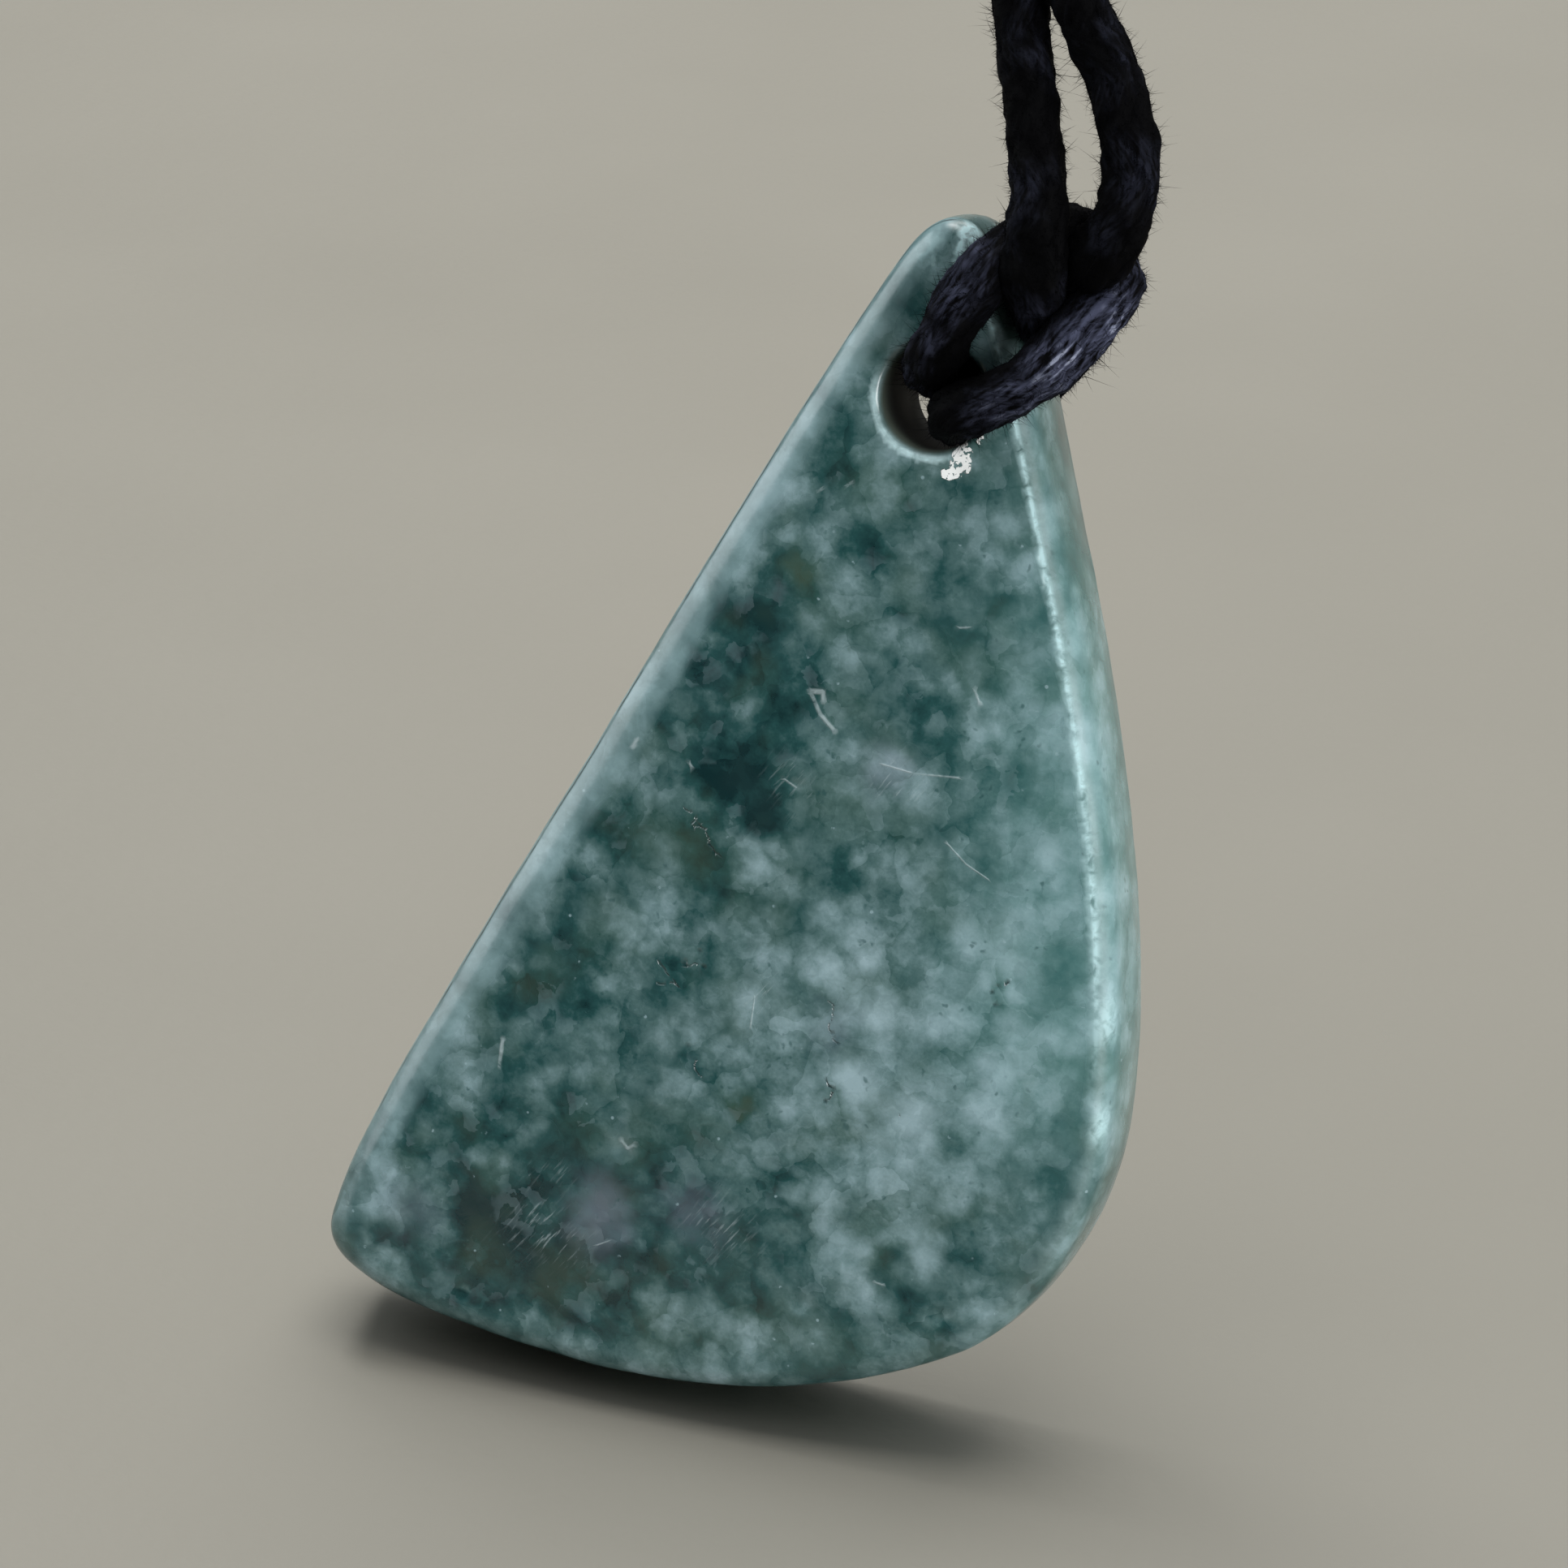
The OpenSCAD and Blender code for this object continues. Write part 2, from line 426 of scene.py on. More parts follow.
@dataclass(frozen=True)
class JadeFinish:
    """Polished mottled jade: pale clots in a grey-green ground, dark green veins and olive haze, with
    painted highlights on its edges and by the hole, and painted shade in the hole and the bevel's
    crease.
    """

    deepest: Colour = paint(15, 44, 46)
    dark: Colour = paint(36, 74, 74)
    ground: Colour = paint(78, 107, 107)
    light: Colour = paint(112, 139, 142)
    cloud: Colour = paint(152, 177, 184)
    olive: Colour = paint(86, 104, 82)
    teal: Colour = paint(96, 150, 148)
    lilac: Colour = paint(132, 144, 160)
    # Pale sheen painted on the face's rim, mostly on its left side: painted reflection, partly wear
    rubbed_sheen: Colour = paint(142, 172, 177)
    # Colour of the painted highlight on the right edge, the tip and the lower right edge
    ridge_highlight: Colour = paint(194, 230, 234)
    # Colour of the hole's lower-left rim: a painted highlight, partly a pale ground-down edge
    lip_wear_and_glint: Colour = paint(206, 236, 240)
    # Colours of the hole's walls: partly their own grey, partly painted shade that darkens deeper in
    mouth: Colour = paint(62, 72, 62)
    deep_bore_shade: Colour = paint(6, 8, 7)
    glint_white: Colour = paint(252, 255, 254)
    scratched: Colour = paint(196, 212, 216)
    cloud_scale: float = 0.5
    fleck_scale: float = 2.6
    grain_scale: float = 10.0
    clot_scale: float = 0.52
    crumb_scale: float = 1.0
    pepper_scale: float = 2.2
    flake_scale: float = 1.5
    speck_scale: float = 1.1
    chip_glint_scale: float = 7.0
    haze_scale: float = 0.3
    patch_scale: float = 0.35
    middle_tone: float = 0.375
    brush_turn: float = -62.0
    brush_stretch: tuple[float, float, float] = (0.9, 7.0, 0.9)
    crease_depth: float = 0.5
    polish: float = 0.2
    ior: float = 1.62
    coat: float = 0.25
    coat_blur: float = 0.12
    relief: float = 0.03 * MM

    def _mottling(self, g: Graph, stone: Shade) -> tuple[Shade, Shade, Shade]:
        """Works out the stone's colour before the tool has touched it.

        Args:
            g: The graph.
            stone: The place in the stone.

        Returns:
            The colour, the broad clouds and the fine flecks.
        """
        clouds = g.noise(stone, self.cloud_scale, 4.0, 0.5) - 0.5
        flecks = g.noise(stone, self.fleck_scale, 4.0, 0.6) - 0.5
        grain = g.noise(stone, self.grain_scale, 2.0) - 0.5
        spread = g.cells(g.swirled(stone, 1.1, 1.1), self.clot_scale)
        clots = 0.57 - spread
        own = spread.sibling("Color") - 0.5
        stirred = g.swirled(stone, 2.2, 0.6)
        crumbs = 0.52 - g.cells(stirred, self.crumb_scale)
        tone = g.attribute("tone") * 0.4 + clots * 0.42 + own * 0.2 + crumbs * 0.3 + self.middle_tone
        tone = tone + clouds * 0.3 + flecks * 0.26 + grain * 0.12
        places = (0.0, 0.22, 0.42, 0.6, 0.88)
        colours = (self.deepest, self.dark, self.ground, self.light, self.cloud)
        ramp = g.node("ShaderNodeValToRGB", {"stops": list(zip(places, colours))}, {0: tone.clamped()})
        haze = g.noise(stone, self.haze_scale, 2.0).step(0.48, 0.66) * 0.2
        pepper = 1 - g.cells(stirred, self.pepper_scale).step(0.1, 0.3)
        flakes = g.cells(stirred, self.flake_scale).sibling("Color")
        colour = g.layered(
            ramp,
            (self.olive, (g.attribute("olive") * 0.5 | haze) * (1 - tone).clamped()),
            (self.teal, g.attribute("teal") * 0.32),
            (self.lilac, g.attribute("lilac") * 0.4),
            (self.dark, pepper * g.noise(stone, 0.8, 2.0).step(0.54, 0.64) * 0.6),
            (self.cloud, flakes.step(0.58, 0.64) * clouds.step(-0.04, 0.1) * 0.12),
            (self.dark, (1 - flakes.step(0.34, 0.4)) * 0.12),
        )
        return colour, clouds, flecks

    def material(self) -> bpy.types.Material:
        """Builds the finish from the stone's own places and charts.

        Returns:
            The material.
        """
        g = Graph(bpy.data.materials.new("polished_jade"))
        stone = g.attribute("stone", vector=True)
        depth = -1 * g.part(stone, 2)
        rubbed_sheen, bore, rounded = g.attribute("rubbed_sheen"), g.attribute("bore"), g.attribute("rounded")
        crack = g.attribute("crack")
        mottled, clouds, flecks = self._mottling(g, stone)
        # Painted highlight along the right front edge and on the tip and lower right edge, partly a
        # worn pale band
        ridge_highlight = g.attribute("ridge_highlight") * (flecks * 3 + clouds * 2.4 + 0.6).clamped()
        # A dark line painted where the left bevel's two facets meet: painted shade in the crease
        from_crease = abs(depth - self.crease_depth + flecks * 0.08)
        crease_shade = g.attribute("worked") * (1 - from_crease.step(0.02, 0.07)) * (clouds * 6 + 0.7).clamped()
        # Painted glint on the frosted patch beside the hole; its bump is real
        chip_glint = g.attribute("chip_glint") * g.noise(stone, self.chip_glint_scale, 3.0).step(0.34, 0.5)
        chip_glint = chip_glint.step(0.34, 0.5)
        brushed = g.noise(g.stretched(stone, self.brush_stretch, self.brush_turn), 1.3, 4.0)
        strokes = g.attribute("strokes") * brushed.step(0.54, 0.74)
        scratch = g.attribute("scratch") * (flecks * 2.5 + 0.7).clamped()
        marks = (scratch | (strokes * 0.8)).clamped()
        specks = 1 - g.cells(stone, self.speck_scale).step(0.05, 0.09)
        colour = g.layered(
            mottled,
            # Painted sheen on the rim, mostly on the left side, partly wear
            (self.rubbed_sheen, rubbed_sheen * (0.35 + clouds)),
            (self.ridge_highlight, ridge_highlight),
            # Painted shade in the bevel's crease
            (self.deepest, crease_shade * 0.9),
            # The hole's walls: partly their own grey and partly painted shade, darker deeper in
            (self.mouth, bore),
            (self.deep_bore_shade, bore * depth.step(0.1, 1.5)),
            # Painted highlight on the hole's lower-left rim, partly a pale ground-down edge
            (self.lip_wear_and_glint, g.attribute("lip_wear_and_glint") * (flecks * 1.5 + 0.8)),
            # Painted white glint beside the hole
            (self.glint_white, chip_glint),
            (self.scratched, marks * 0.5),
            (self.deepest, crack * (flecks * 3 + 0.7).clamped()),
            (self.cloud, specks * flecks.step(-0.02, 0.1) * 0.6),
        )
        patches = g.noise(stone, self.patch_scale, 2.0)
        roughness = self.polish + patches.step(0.4, 0.65) * 0.1 + (rubbed_sheen + ridge_highlight) * 0.1
        height = flecks * 0.35 + marks * 0.5 - crack + chip_glint * 2
        return g.surface({
            "Base Color": colour,
            "Roughness": roughness + rounded * 0.3 + marks * 0.25 + bore * 0.5,
            "IOR": self.ior,
            "Coat Weight": (self.coat - (bore + rounded) * self.coat).clamped(),
            "Coat Roughness": self.coat_blur,
            "Normal": g.bump(height, self.relief),
        })


@dataclass(frozen=True)
class WaxedCordFinish:
    """Black waxed cotton: fibres along each strand, and a cool bloom, partly dried wax and partly
    painted sheen.
    """

    black: Colour = paint(1, 1, 2)
    fibre: Colour = paint(7, 8, 13)
    # Colours of the bloom and the chalky streaks: partly dried wax, partly painted sheen
    sheen_bloom: Colour = paint(70, 74, 94)
    chalk_sheen: Colour = paint(150, 156, 176)
    patch_scale: float = 420.0
    crumb_scale: float = 2600.0
    wax: float = 0.62
    ior: float = 1.38
    gloss: float = 0.07
    relief: float = 0.05 * MM

    def material(self) -> bpy.types.Material:
        """Builds the finish from the lay of the strands.

        Returns:
            The material.
        """
        g = Graph(bpy.data.materials.new("waxed_black_cotton"))
        lay = g.attribute("lay", vector=True)
        top = g.attribute("top")
        bloom_and_sheen = g.attribute("bloom_and_sheen")
        place = g.object_place()
        fibres = g.noise(g.stretched(lay, (2.6, 0.9, 1.0)), 1.6, 5.0)
        streaks = g.noise(g.stretched(g.attribute("run", vector=True), (3.4, 3.4, 0.55)), 1.5, 5.0)
        patches = g.noise(place, self.patch_scale, 3.0)
        crumbs = g.noise(place, self.crumb_scale, 3.0)
        worn = (fibres * 0.55 + streaks * 0.75 + crumbs * 0.15 - 0.22).step(0.36, 0.68)
        chalk_sheen_streaks = (streaks + crumbs * 0.3 - 0.15).step(0.56, 0.68) * patches.step(0.5, 0.62)
        colour = g.layered(
            self.black,
            (self.fibre, fibres.step(0.42, 0.6) * patches.step(0.42, 0.56)),
            # Bloom: partly dried wax and partly painted sheen on the legs, more on the strands' crowns
            # and left off where the strands shade the legs
            (self.sheen_bloom, (patches + bloom_and_sheen * 0.2).step(0.46, 0.74) * worn * (0.5 + top * 0.5) * bloom_and_sheen),
            # Pale chalky streaks where the bloom is strongest: partly dried wax, partly painted sheen
            (self.chalk_sheen, chalk_sheen_streaks * (bloom_and_sheen - 0.45).clamped() * 1.4),
        )
        roughness = self.wax + (1 - fibres) * 0.2 + (1 - top) * 0.2
        return g.surface({
            "Base Color": colour,
            "Roughness": roughness,
            "IOR": self.ior,
            "Specular IOR Level": self.gloss,
            "Normal": g.bump(fibres * 0.7 + patches * 0.4 + crumbs * 0.7, self.relief),
        })


@dataclass(frozen=True)
class FloorFinish:
    """The plain pale floor, with a very faint tooth."""

    pale: Colour = paint(172, 168, 156)
    shaded: Colour = paint(161, 157, 145)
    tooth_scale: float = 900.0
    cloud_scale: float = 30.0
    roughness: float = 0.6
    relief: float = 0.05 * MM

    def material(self) -> bpy.types.Material:
        """Builds the finish.

        Returns:
            The material.
        """
        g = Graph(bpy.data.materials.new("pale_floor"))
        place = g.object_place()
        tooth = g.noise(place, self.tooth_scale, 3.0)
        colour = g.blend(self.pale, self.shaded, g.noise(place, self.cloud_scale, 3.0))
        return g.surface({
            "Base Color": colour,
            "Roughness": self.roughness,
            "Normal": g.bump(tooth, self.relief),
        })


@dataclass(frozen=True)
class Hang:
    """How the stone hangs on a chest: where its hole is and how it leans and tilts."""

    hole_at: tuple[float, float, float] = (-2.4, -138.0, -128.0)
    lean: float = 20.0
    tilt: float = 7.0

    def to_chest(self, points: np.ndarray) -> np.ndarray:
        """Moves points from the stone's frame to the necklace's.

        Args:
            points: Points in the stone's frame, in millimetres.

        Returns:
            The same points in metres.
        """
        lean, tilt = math.radians(self.lean), math.radians(self.tilt)
        across = points[:, 0] * math.cos(tilt) + points[:, 1] * math.sin(tilt)
        up = points[:, 1] * math.cos(tilt) - points[:, 0] * math.sin(tilt)
        out = points[:, 2]
        moved = np.stack([
            across,
            up * math.sin(lean) - out * math.cos(lean),
            up * math.cos(lean) + out * math.sin(lean),
        ], axis=1)
        return (moved + np.array(self.hole_at)) * MM


class Stop(NamedTuple):
    """One stop of the stone's outline: its place, heading in degrees, two handles and edge."""

    across: float
    along: float
    heading: float
    behind: float
    ahead: float
    edge: float


class Blotch(NamedTuple):
    """A soft oval on the stone: its middle, its half widths and its strength."""

    x: float
    y: float
    half_x: float
    half_y: float
    strength: float


def ovals(*rows: tuple[float, float, float, float, float]) -> tuple[Blotch, ...]:
    """Turns the rows of a chart into its soft ovals."""
    return tuple(Blotch(*row) for row in rows)


class Stroke(NamedTuple):
    """A line on the stone: its half width and the places that it runs through."""

    half_width: float
    path: tuple[tuple[float, float], ...]


# Pale clouds of the front face: the wide ones, which make the face paler towards the right, come first,
# then the rest from the tip down
CLOUDS = ovals(
    # The first oval is a painted sheen between the hitch's legs, where the cords shade the face
    (1.7, 2.4, 0.8, 1.4, 0.9), (11.4, -19.4, 0.9, 1.3, 0.8), (8.5, -14.0, 3.0, 8.0, 0.55),
    (5.0, -23.0, 5.5, 5.0, 0.42), (6.5, -28.0, 4.0, 3.0, 0.25), (-1.2, 4.4, 0.7, 1.0, 0.5),
    (-2.9, -0.2, 0.6, 1.6, 0.5), (-4.4, -4.6, 0.7, 1.5, 0.6), (4.2, -5.2, 0.8, 0.7, 0.7),
    (3.2, -3.4, 1.2, 0.7, 0.4), (-1.1, -7.2, 1.0, 0.6, 0.45), (-5.4, -7.2, 0.7, 1.4, 0.6),
    (5.7, -7.4, 0.8, 0.5, 0.7), (0.9, -8.2, 1.0, 0.7, 0.45), (3.0, -9.6, 0.6, 0.6, 0.6),
    (7.3, -9.7, 0.9, 0.9, 0.7), (5.2, -10.9, 0.9, 0.7, 0.6), (-3.6, -12.0, 0.6, 0.5, 0.6),
    (1.6, -12.9, 1.3, 0.5, 0.4), (8.0, -14.8, 1.0, 0.7, 0.75), (5.9, -14.6, 0.8, 0.6, 0.5),
    (-4.9, -15.8, 0.7, 0.5, 0.75), (10.2, -15.4, 0.6, 0.6, 0.6), (3.0, -16.4, 1.1, 0.8, 0.6),
    (10.9, -17.0, 0.6, 1.1, 0.9), (-3.2, -17.1, 0.9, 0.3, 0.6), (5.2, -17.4, 0.9, 0.7, 0.55),
    (-1.9, -17.7, 0.6, 0.5, 0.4), (7.4, -18.0, 1.2, 0.7, 0.6), (11.5, -19.1, 0.6, 1.0, 1.3),
    (2.5, -19.1, 1.2, 0.8, 0.6), (-9.6, -19.4, 0.8, 0.8, 0.5), (-0.8, -20.9, 0.5, 1.1, 0.6),
    (1.2, -20.7, 0.9, 0.6, 0.65), (-5.5, -20.7, 0.7, 0.4, 0.5), (9.5, -20.7, 0.9, 0.6, 0.55),
    (6.5, -20.7, 0.5, 0.4, 0.5), (4.0, -21.4, 0.9, 0.6, 0.3), (10.2, -22.5, 0.7, 0.9, 0.6),
    (7.9, -22.6, 0.7, 0.9, 0.65), (0.3, -23.0, 1.5, 0.9, 0.7), (12.1, -22.6, 0.4, 0.9, 0.8),
    (-6.0, -23.4, 1.1, 0.7, 0.7), (3.5, -24.2, 1.0, 0.9, 0.8), (7.6, -24.5, 0.8, 0.5, 0.5),
    (-1.0, -24.8, 0.9, 0.5, 0.4), (5.6, -24.9, 0.9, 0.7, 0.6), (-3.4, -26.2, 1.1, 0.8, 0.65),
    (1.0, -25.7, 0.6, 0.5, 0.4), (-12.0, -27.0, 0.8, 1.2, 0.6), (7.5, -27.0, 0.7, 0.8, 0.45),
    (5.5, -27.5, 1.0, 0.9, 0.95), (-0.4, -28.0, 0.6, 0.4, 0.4), (3.0, -28.7, 0.8, 0.6, 0.6),
    (3.6, -30.0, 1.1, 0.7, 0.5), (-8.6, -31.0, 0.9, 0.9, 0.65), (-10.0, -31.4, 0.5, 0.5, 0.7),
    (9.0, -31.0, 0.9, 0.5, 0.45), (4.8, -31.7, 1.0, 0.7, 0.35), (-5.0, -32.0, 1.2, 1.2, 0.5),
    (-7.0, -33.2, 1.1, 0.9, 0.45), (-13.6, -33.0, 0.5, 1.0, 0.8), (-12.6, -34.3, 0.8, 0.9, 0.45),
    (-2.0, -34.5, 1.4, 0.6, 0.4), (-10.7, -34.9, 1.0, 0.9, 0.5), (-8.2, -35.0, 1.2, 0.8, 0.5),
    (2.3, -34.6, 0.8, 0.6, 0.4), (-12.8, -36.4, 0.7, 0.5, 0.4), (-6.9, -36.7, 0.9, 0.4, 0.4),
    # The small spots listed last, most of them on pits, are partly pale specks and partly painted
    # glints
    (-3.4, -32.7, 0.25, 0.25, 0.8), (3.2, -32.8, 0.4, 0.4, 0.8), (8.2, -31.7, 0.35, 0.3, 0.8),
    (8.6, -21.3, 0.25, 0.25, 0.6), (-9.6, -36.5, 0.15, 0.15, 1.6),
)

# Dark green veins and spots of the front face: the wide ones, which darken the face towards the lower
# left, come first, then the rest from the tip down
SHADOWS = ovals(
    (-7.0, -33.2, 4.6, 3.4, 1.3), (-4.0, -13.5, 2.8, 4.6, 0.4), (0.8, -6.5, 4.0, 2.6, 0.25),
    (-0.5, -29.5, 4.2, 3.4, 0.42), (-8.5, -23.0, 2.5, 3.5, 0.25), (-2.6, 1.6, 0.6, 1.4, 0.45),
    (2.2, -2.7, 0.9, 0.6, 0.5), (-3.2, -3.0, 0.8, 1.2, 0.4), (0.1, -4.0, 0.4, 1.1, 0.5),
    (5.6, -4.8, 0.5, 0.9, 0.5), (-1.1, -5.5, 0.7, 0.6, 0.75), (-0.1, -6.1, 0.8, 0.5, 0.45),
    (-3.2, -7.0, 0.6, 0.5, 0.6), (3.1, -7.7, 0.6, 0.4, 0.4), (6.6, -8.7, 0.5, 0.8, 0.5),
    (-3.8, -9.0, 0.6, 0.8, 0.55), (4.5, -9.3, 0.5, 0.6, 0.5), (-5.0, -9.7, 0.6, 1.3, 0.9),
    (2.7, -10.3, 1.1, 0.5, 0.35), (-5.4, -11.3, 0.9, 0.8, 0.85), (-1.8, -11.0, 0.5, 1.0, 0.75),
    (-3.1, -11.0, 1.0, 1.2, 0.5), (6.3, -12.6, 0.9, 1.2, 0.65), (-5.2, -13.2, 0.5, 0.4, 0.7),
    (-3.1, -13.5, 1.0, 0.8, 0.7), (-6.5, -14.1, 0.6, 0.5, 0.7), (-3.9, -14.8, 1.4, 1.2, 0.95),
    (7.4, -14.9, 0.4, 0.5, 0.5), (-2.7, -15.9, 1.6, 0.9, 1.0), (0.8, -16.7, 0.7, 0.8, 0.7),
    (10.4, -16.2, 0.3, 0.3, 0.5), (-4.5, -17.2, 1.0, 0.5, 0.6), (9.2, -18.0, 0.6, 0.8, 0.5),
    (-7.5, -18.0, 1.3, 0.9, 0.5), (-3.2, -18.8, 1.2, 0.6, 0.4), (-0.6, -19.2, 0.6, 0.6, 0.35),
    (7.6, -19.5, 0.3, 0.4, 0.6), (-8.3, -21.6, 1.3, 1.3, 0.45), (-4.3, -22.6, 0.7, 0.6, 0.6),
    (1.9, -22.7, 0.4, 0.9, 0.5), (5.6, -22.5, 0.6, 0.6, 0.4), (-7.2, -24.4, 0.5, 0.4, 0.6),
    (-9.4, -24.6, 0.7, 0.8, 0.8), (2.3, -25.0, 0.4, 0.4, 0.5), (-8.5, -25.6, 0.5, 0.5, 0.8),
    (-2.9, -25.5, 0.6, 0.3, 0.6), (-10.4, -25.8, 0.6, 0.4, 0.6), (-0.8, -26.4, 0.6, 0.35, 1.0),
    (11.0, -26.3, 0.9, 0.9, 0.5), (8.6, -27.3, 0.4, 0.6, 0.55), (-8.6, -27.6, 0.6, 0.3, 0.6),
    (-7.4, -28.3, 0.4, 0.35, 0.85), (8.8, -29.2, 1.4, 0.8, 0.5), (-4.6, -29.6, 0.3, 0.5, 0.7),
    (-2.9, -30.0, 0.4, 0.6, 0.7), (-1.5, -29.9, 0.5, 0.5, 0.55), (5.8, -30.3, 0.8, 0.7, 0.8),
    (-10.2, -30.3, 1.0, 0.3, 0.9), (-10.8, -31.0, 0.3, 0.6, 0.9), (6.6, -31.3, 0.4, 0.4, 0.6),
    (-10.4, -32.8, 0.5, 0.9, 1.1), (-3.5, -32.0, 0.25, 0.7, 0.6), (0.9, -33.2, 1.2, 0.7, 0.65),
    (-4.7, -33.3, 0.5, 0.4, 0.8), (-9.3, -33.6, 0.4, 0.6, 0.6), (-4.1, -34.9, 0.9, 0.6, 0.6),
    (0.1, -35.3, 0.8, 0.3, 0.6), (-14.3, -35.4, 0.6, 0.6, 0.6), (-12.7, -35.4, 0.6, 0.4, 0.7),
    (-5.2, -36.2, 1.2, 0.6, 0.6), (-9.5, -36.6, 0.5, 0.4, 0.7),
)

# Olive-brown haze and bluish-lilac haze of the front face
OLIVE_HAZE = ovals(
    (-3.0, -7.0, 0.9, 0.7, 0.9), (-1.0, -3.6, 1.6, 1.0, 0.5), (-1.6, -8.4, 1.4, 0.8, 0.4),
    (0.4, -14.6, 1.6, 1.2, 0.5), (-5.4, -17.9, 2.0, 1.2, 0.6), (2.4, -21.0, 1.6, 1.0, 0.5),
    (9.3, -22.7, 0.4, 1.0, 0.8), (-0.8, -26.4, 0.8, 0.5, 0.8), (3.0, -25.8, 1.5, 0.8, 0.5),
    (-6.0, -29.0, 1.4, 0.8, 0.4), (3.4, -34.0, 2.4, 1.0, 0.4),
)
LILAC_HAZE = ovals(
    (1.6, -13.1, 1.0, 0.7, 0.8), (-4.9, -32.0, 1.1, 1.3, 1.0), (-1.5, -30.8, 1.2, 0.9, 0.6),
    (2.0, -22.6, 0.8, 0.9, 0.5), (-12.2, -34.2, 1.2, 0.9, 0.5), (-5.4, -4.9, 0.7, 1.2, 0.5),
)

# Where the polish is brushed with fine strokes
BRUSHED = ovals(
    (-6.9, -33.4, 1.3, 0.9, 1.0), (-7.2, -31.4, 0.7, 0.8, 0.5), (-0.3, -31.0, 1.2, 1.0, 0.7),
    (-1.0, -22.2, 0.5, 1.0, 0.6), (2.2, -13.4, 1.2, 0.5, 0.6), (-1.6, -14.4, 0.8, 0.9, 0.5),
)

# Pale scratches and dark cracks in the polish
SCRATCHES = (
    Stroke(0.08, ((-1.7, -11.1), (-1.3, -11.0), (-1.2, -11.3))),
    Stroke(0.06, ((-1.7, -11.2), (-1.2, -11.8), (-0.6, -12.2))),
    Stroke(0.03, ((1.4, -12.9), (2.6, -12.9), (4.2, -12.6))),
    Stroke(0.025, ((4.4, -15.0), (5.2, -15.5), (6.1, -15.8))),
    Stroke(0.035, ((4.0, -9.5), (4.2, -9.8))),
    Stroke(0.03, ((2.9, -7.5), (3.2, -7.4))),
    Stroke(0.06, ((-10.1, -26.9), (-10.0, -27.8))),
    Stroke(0.045, ((-4.7, -29.1), (-4.5, -29.3), (-4.3, -29.1))),
    Stroke(0.035, ((-5.5, -14.9), (-5.4, -15.0))),
    Stroke(0.035, ((-3.2, -4.2), (-3.1, -4.1))),
    Stroke(0.04, ((-2.2, -3.7), (-2.1, -3.6))),
    Stroke(0.03, ((-1.9, -14.4), (-1.4, -14.6))),
    Stroke(0.03, ((5.7, -31.2), (5.9, -31.2))),
    Stroke(0.025, ((-1.1, -22.4), (-1.0, -23.4))),
    Stroke(0.025, ((-4.8, -33.2), (-4.4, -32.9))),
)
CRACKS = (
    Stroke(0.03, ((-5.4, -16.5), (-4.6, -17.0), (-3.6, -17.7))),
    Stroke(0.025, ((-3.6, -21.6), (-3.5, -21.9), (-3.9, -22.0))),
    Stroke(0.03, ((-4.9, -22.3), (-4.4, -22.6), (-4.0, -22.9), (-4.6, -23.1), (-4.9, -22.7))),
    Stroke(0.025, ((1.6, -21.5), (1.9, -22.3), (1.7, -22.9), (2.2, -23.1))),
    Stroke(0.025, ((2.2, -24.6), (2.5, -25.2))),
    Stroke(0.025, ((4.9, -24.7), (5.2, -24.9))),
    Stroke(0.025, ((7.4, -19.8), (7.8, -19.2))),
    Stroke(0.025, ((-2.9, -25.3), (-2.3, -25.8))),
)

# Painted highlights on the stone's high spots: the tip and the lower right edge
HIGHLIGHT_SPOTS = ovals(
    (-0.15, 5.9, 0.35, 0.5, 1.8), (-0.35, 5.1, 0.1, 0.6, 1.2), (-1.2, 4.9, 0.7, 0.8, 0.3),
    (12.1, -23.2, 0.35, 0.6, 0.6), (11.5, -19.4, 0.5, 0.9, 0.5),
)

# Where the drill has frosted the face beside the hole: a rough, bumped patch with a painted white glint
# on it
CHIP_GLINTS = ovals(
    (1.68, -1.4, 0.13, 0.75, 1.6), (1.5, -1.95, 0.3, 0.38, 1.5), (1.2, -2.3, 0.22, 0.16, 1.1),
)

# Small pits in the polish: their middle, their radius and their depth
PITS = ovals(
    (-9.6, -36.6, 0.25, 0.25, 0.08), (-4.6, -29.4, 0.3, 0.3, 0.09), (-1.4, -14.5, 0.3, 0.2, 0.05),
    (3.2, -32.8, 0.35, 0.35, 0.04), (8.3, -31.7, 0.3, 0.3, 0.05), (-2.1, -3.6, 0.15, 0.15, 0.05),
    (1.5, -2.3, 0.4, 0.3, 0.06), (-1.5, -11.2, 0.3, 0.3, 0.05),
)


def chart(blotches: Sequence[Blotch], x: np.ndarray, y: np.ndarray) -> np.ndarray:
    """Adds up a chart of soft ovals.

    Args:
        blotches: The chart.
        x: Places across the stone.
        y: Places along it.

    Returns:
        The chart's value at each place.
    """
    total = np.zeros(len(x))
    for spot in blotches:
        reach = ((x - spot.x) / spot.half_x) ** 2 + ((y - spot.y) / spot.half_y) ** 2
        # A little flatter in the middle and steeper at the rim than a bell curve
        total += spot.strength * np.exp(-0.8 * reach ** 1.3)
    return total


def line_mask(strokes: Sequence[Stroke], x: np.ndarray, y: np.ndarray) -> np.ndarray:
    """Draws a chart of lines.

    Args:
        strokes: The lines.
        x: Places across the stone.
        y: Places along it.

    Returns:
        1 on a line, falling to 0 beside it.
    """
    mask = np.zeros(len(x))
    for stroke in strokes:
        for (ax, ay), (bx, by) in zip(stroke.path, stroke.path[1:]):
            length = (bx - ax) ** 2 + (by - ay) ** 2
            share = np.clip(((x - ax) * (bx - ax) + (y - ay) * (by - ay)) / length, 0, 1)
            away = np.hypot(x - ax - share * (bx - ax), y - ay - share * (by - ay))
            mask = np.maximum(mask, 1 - ease(away, 0.5 * stroke.half_width, 1.6 * stroke.half_width))
    return mask


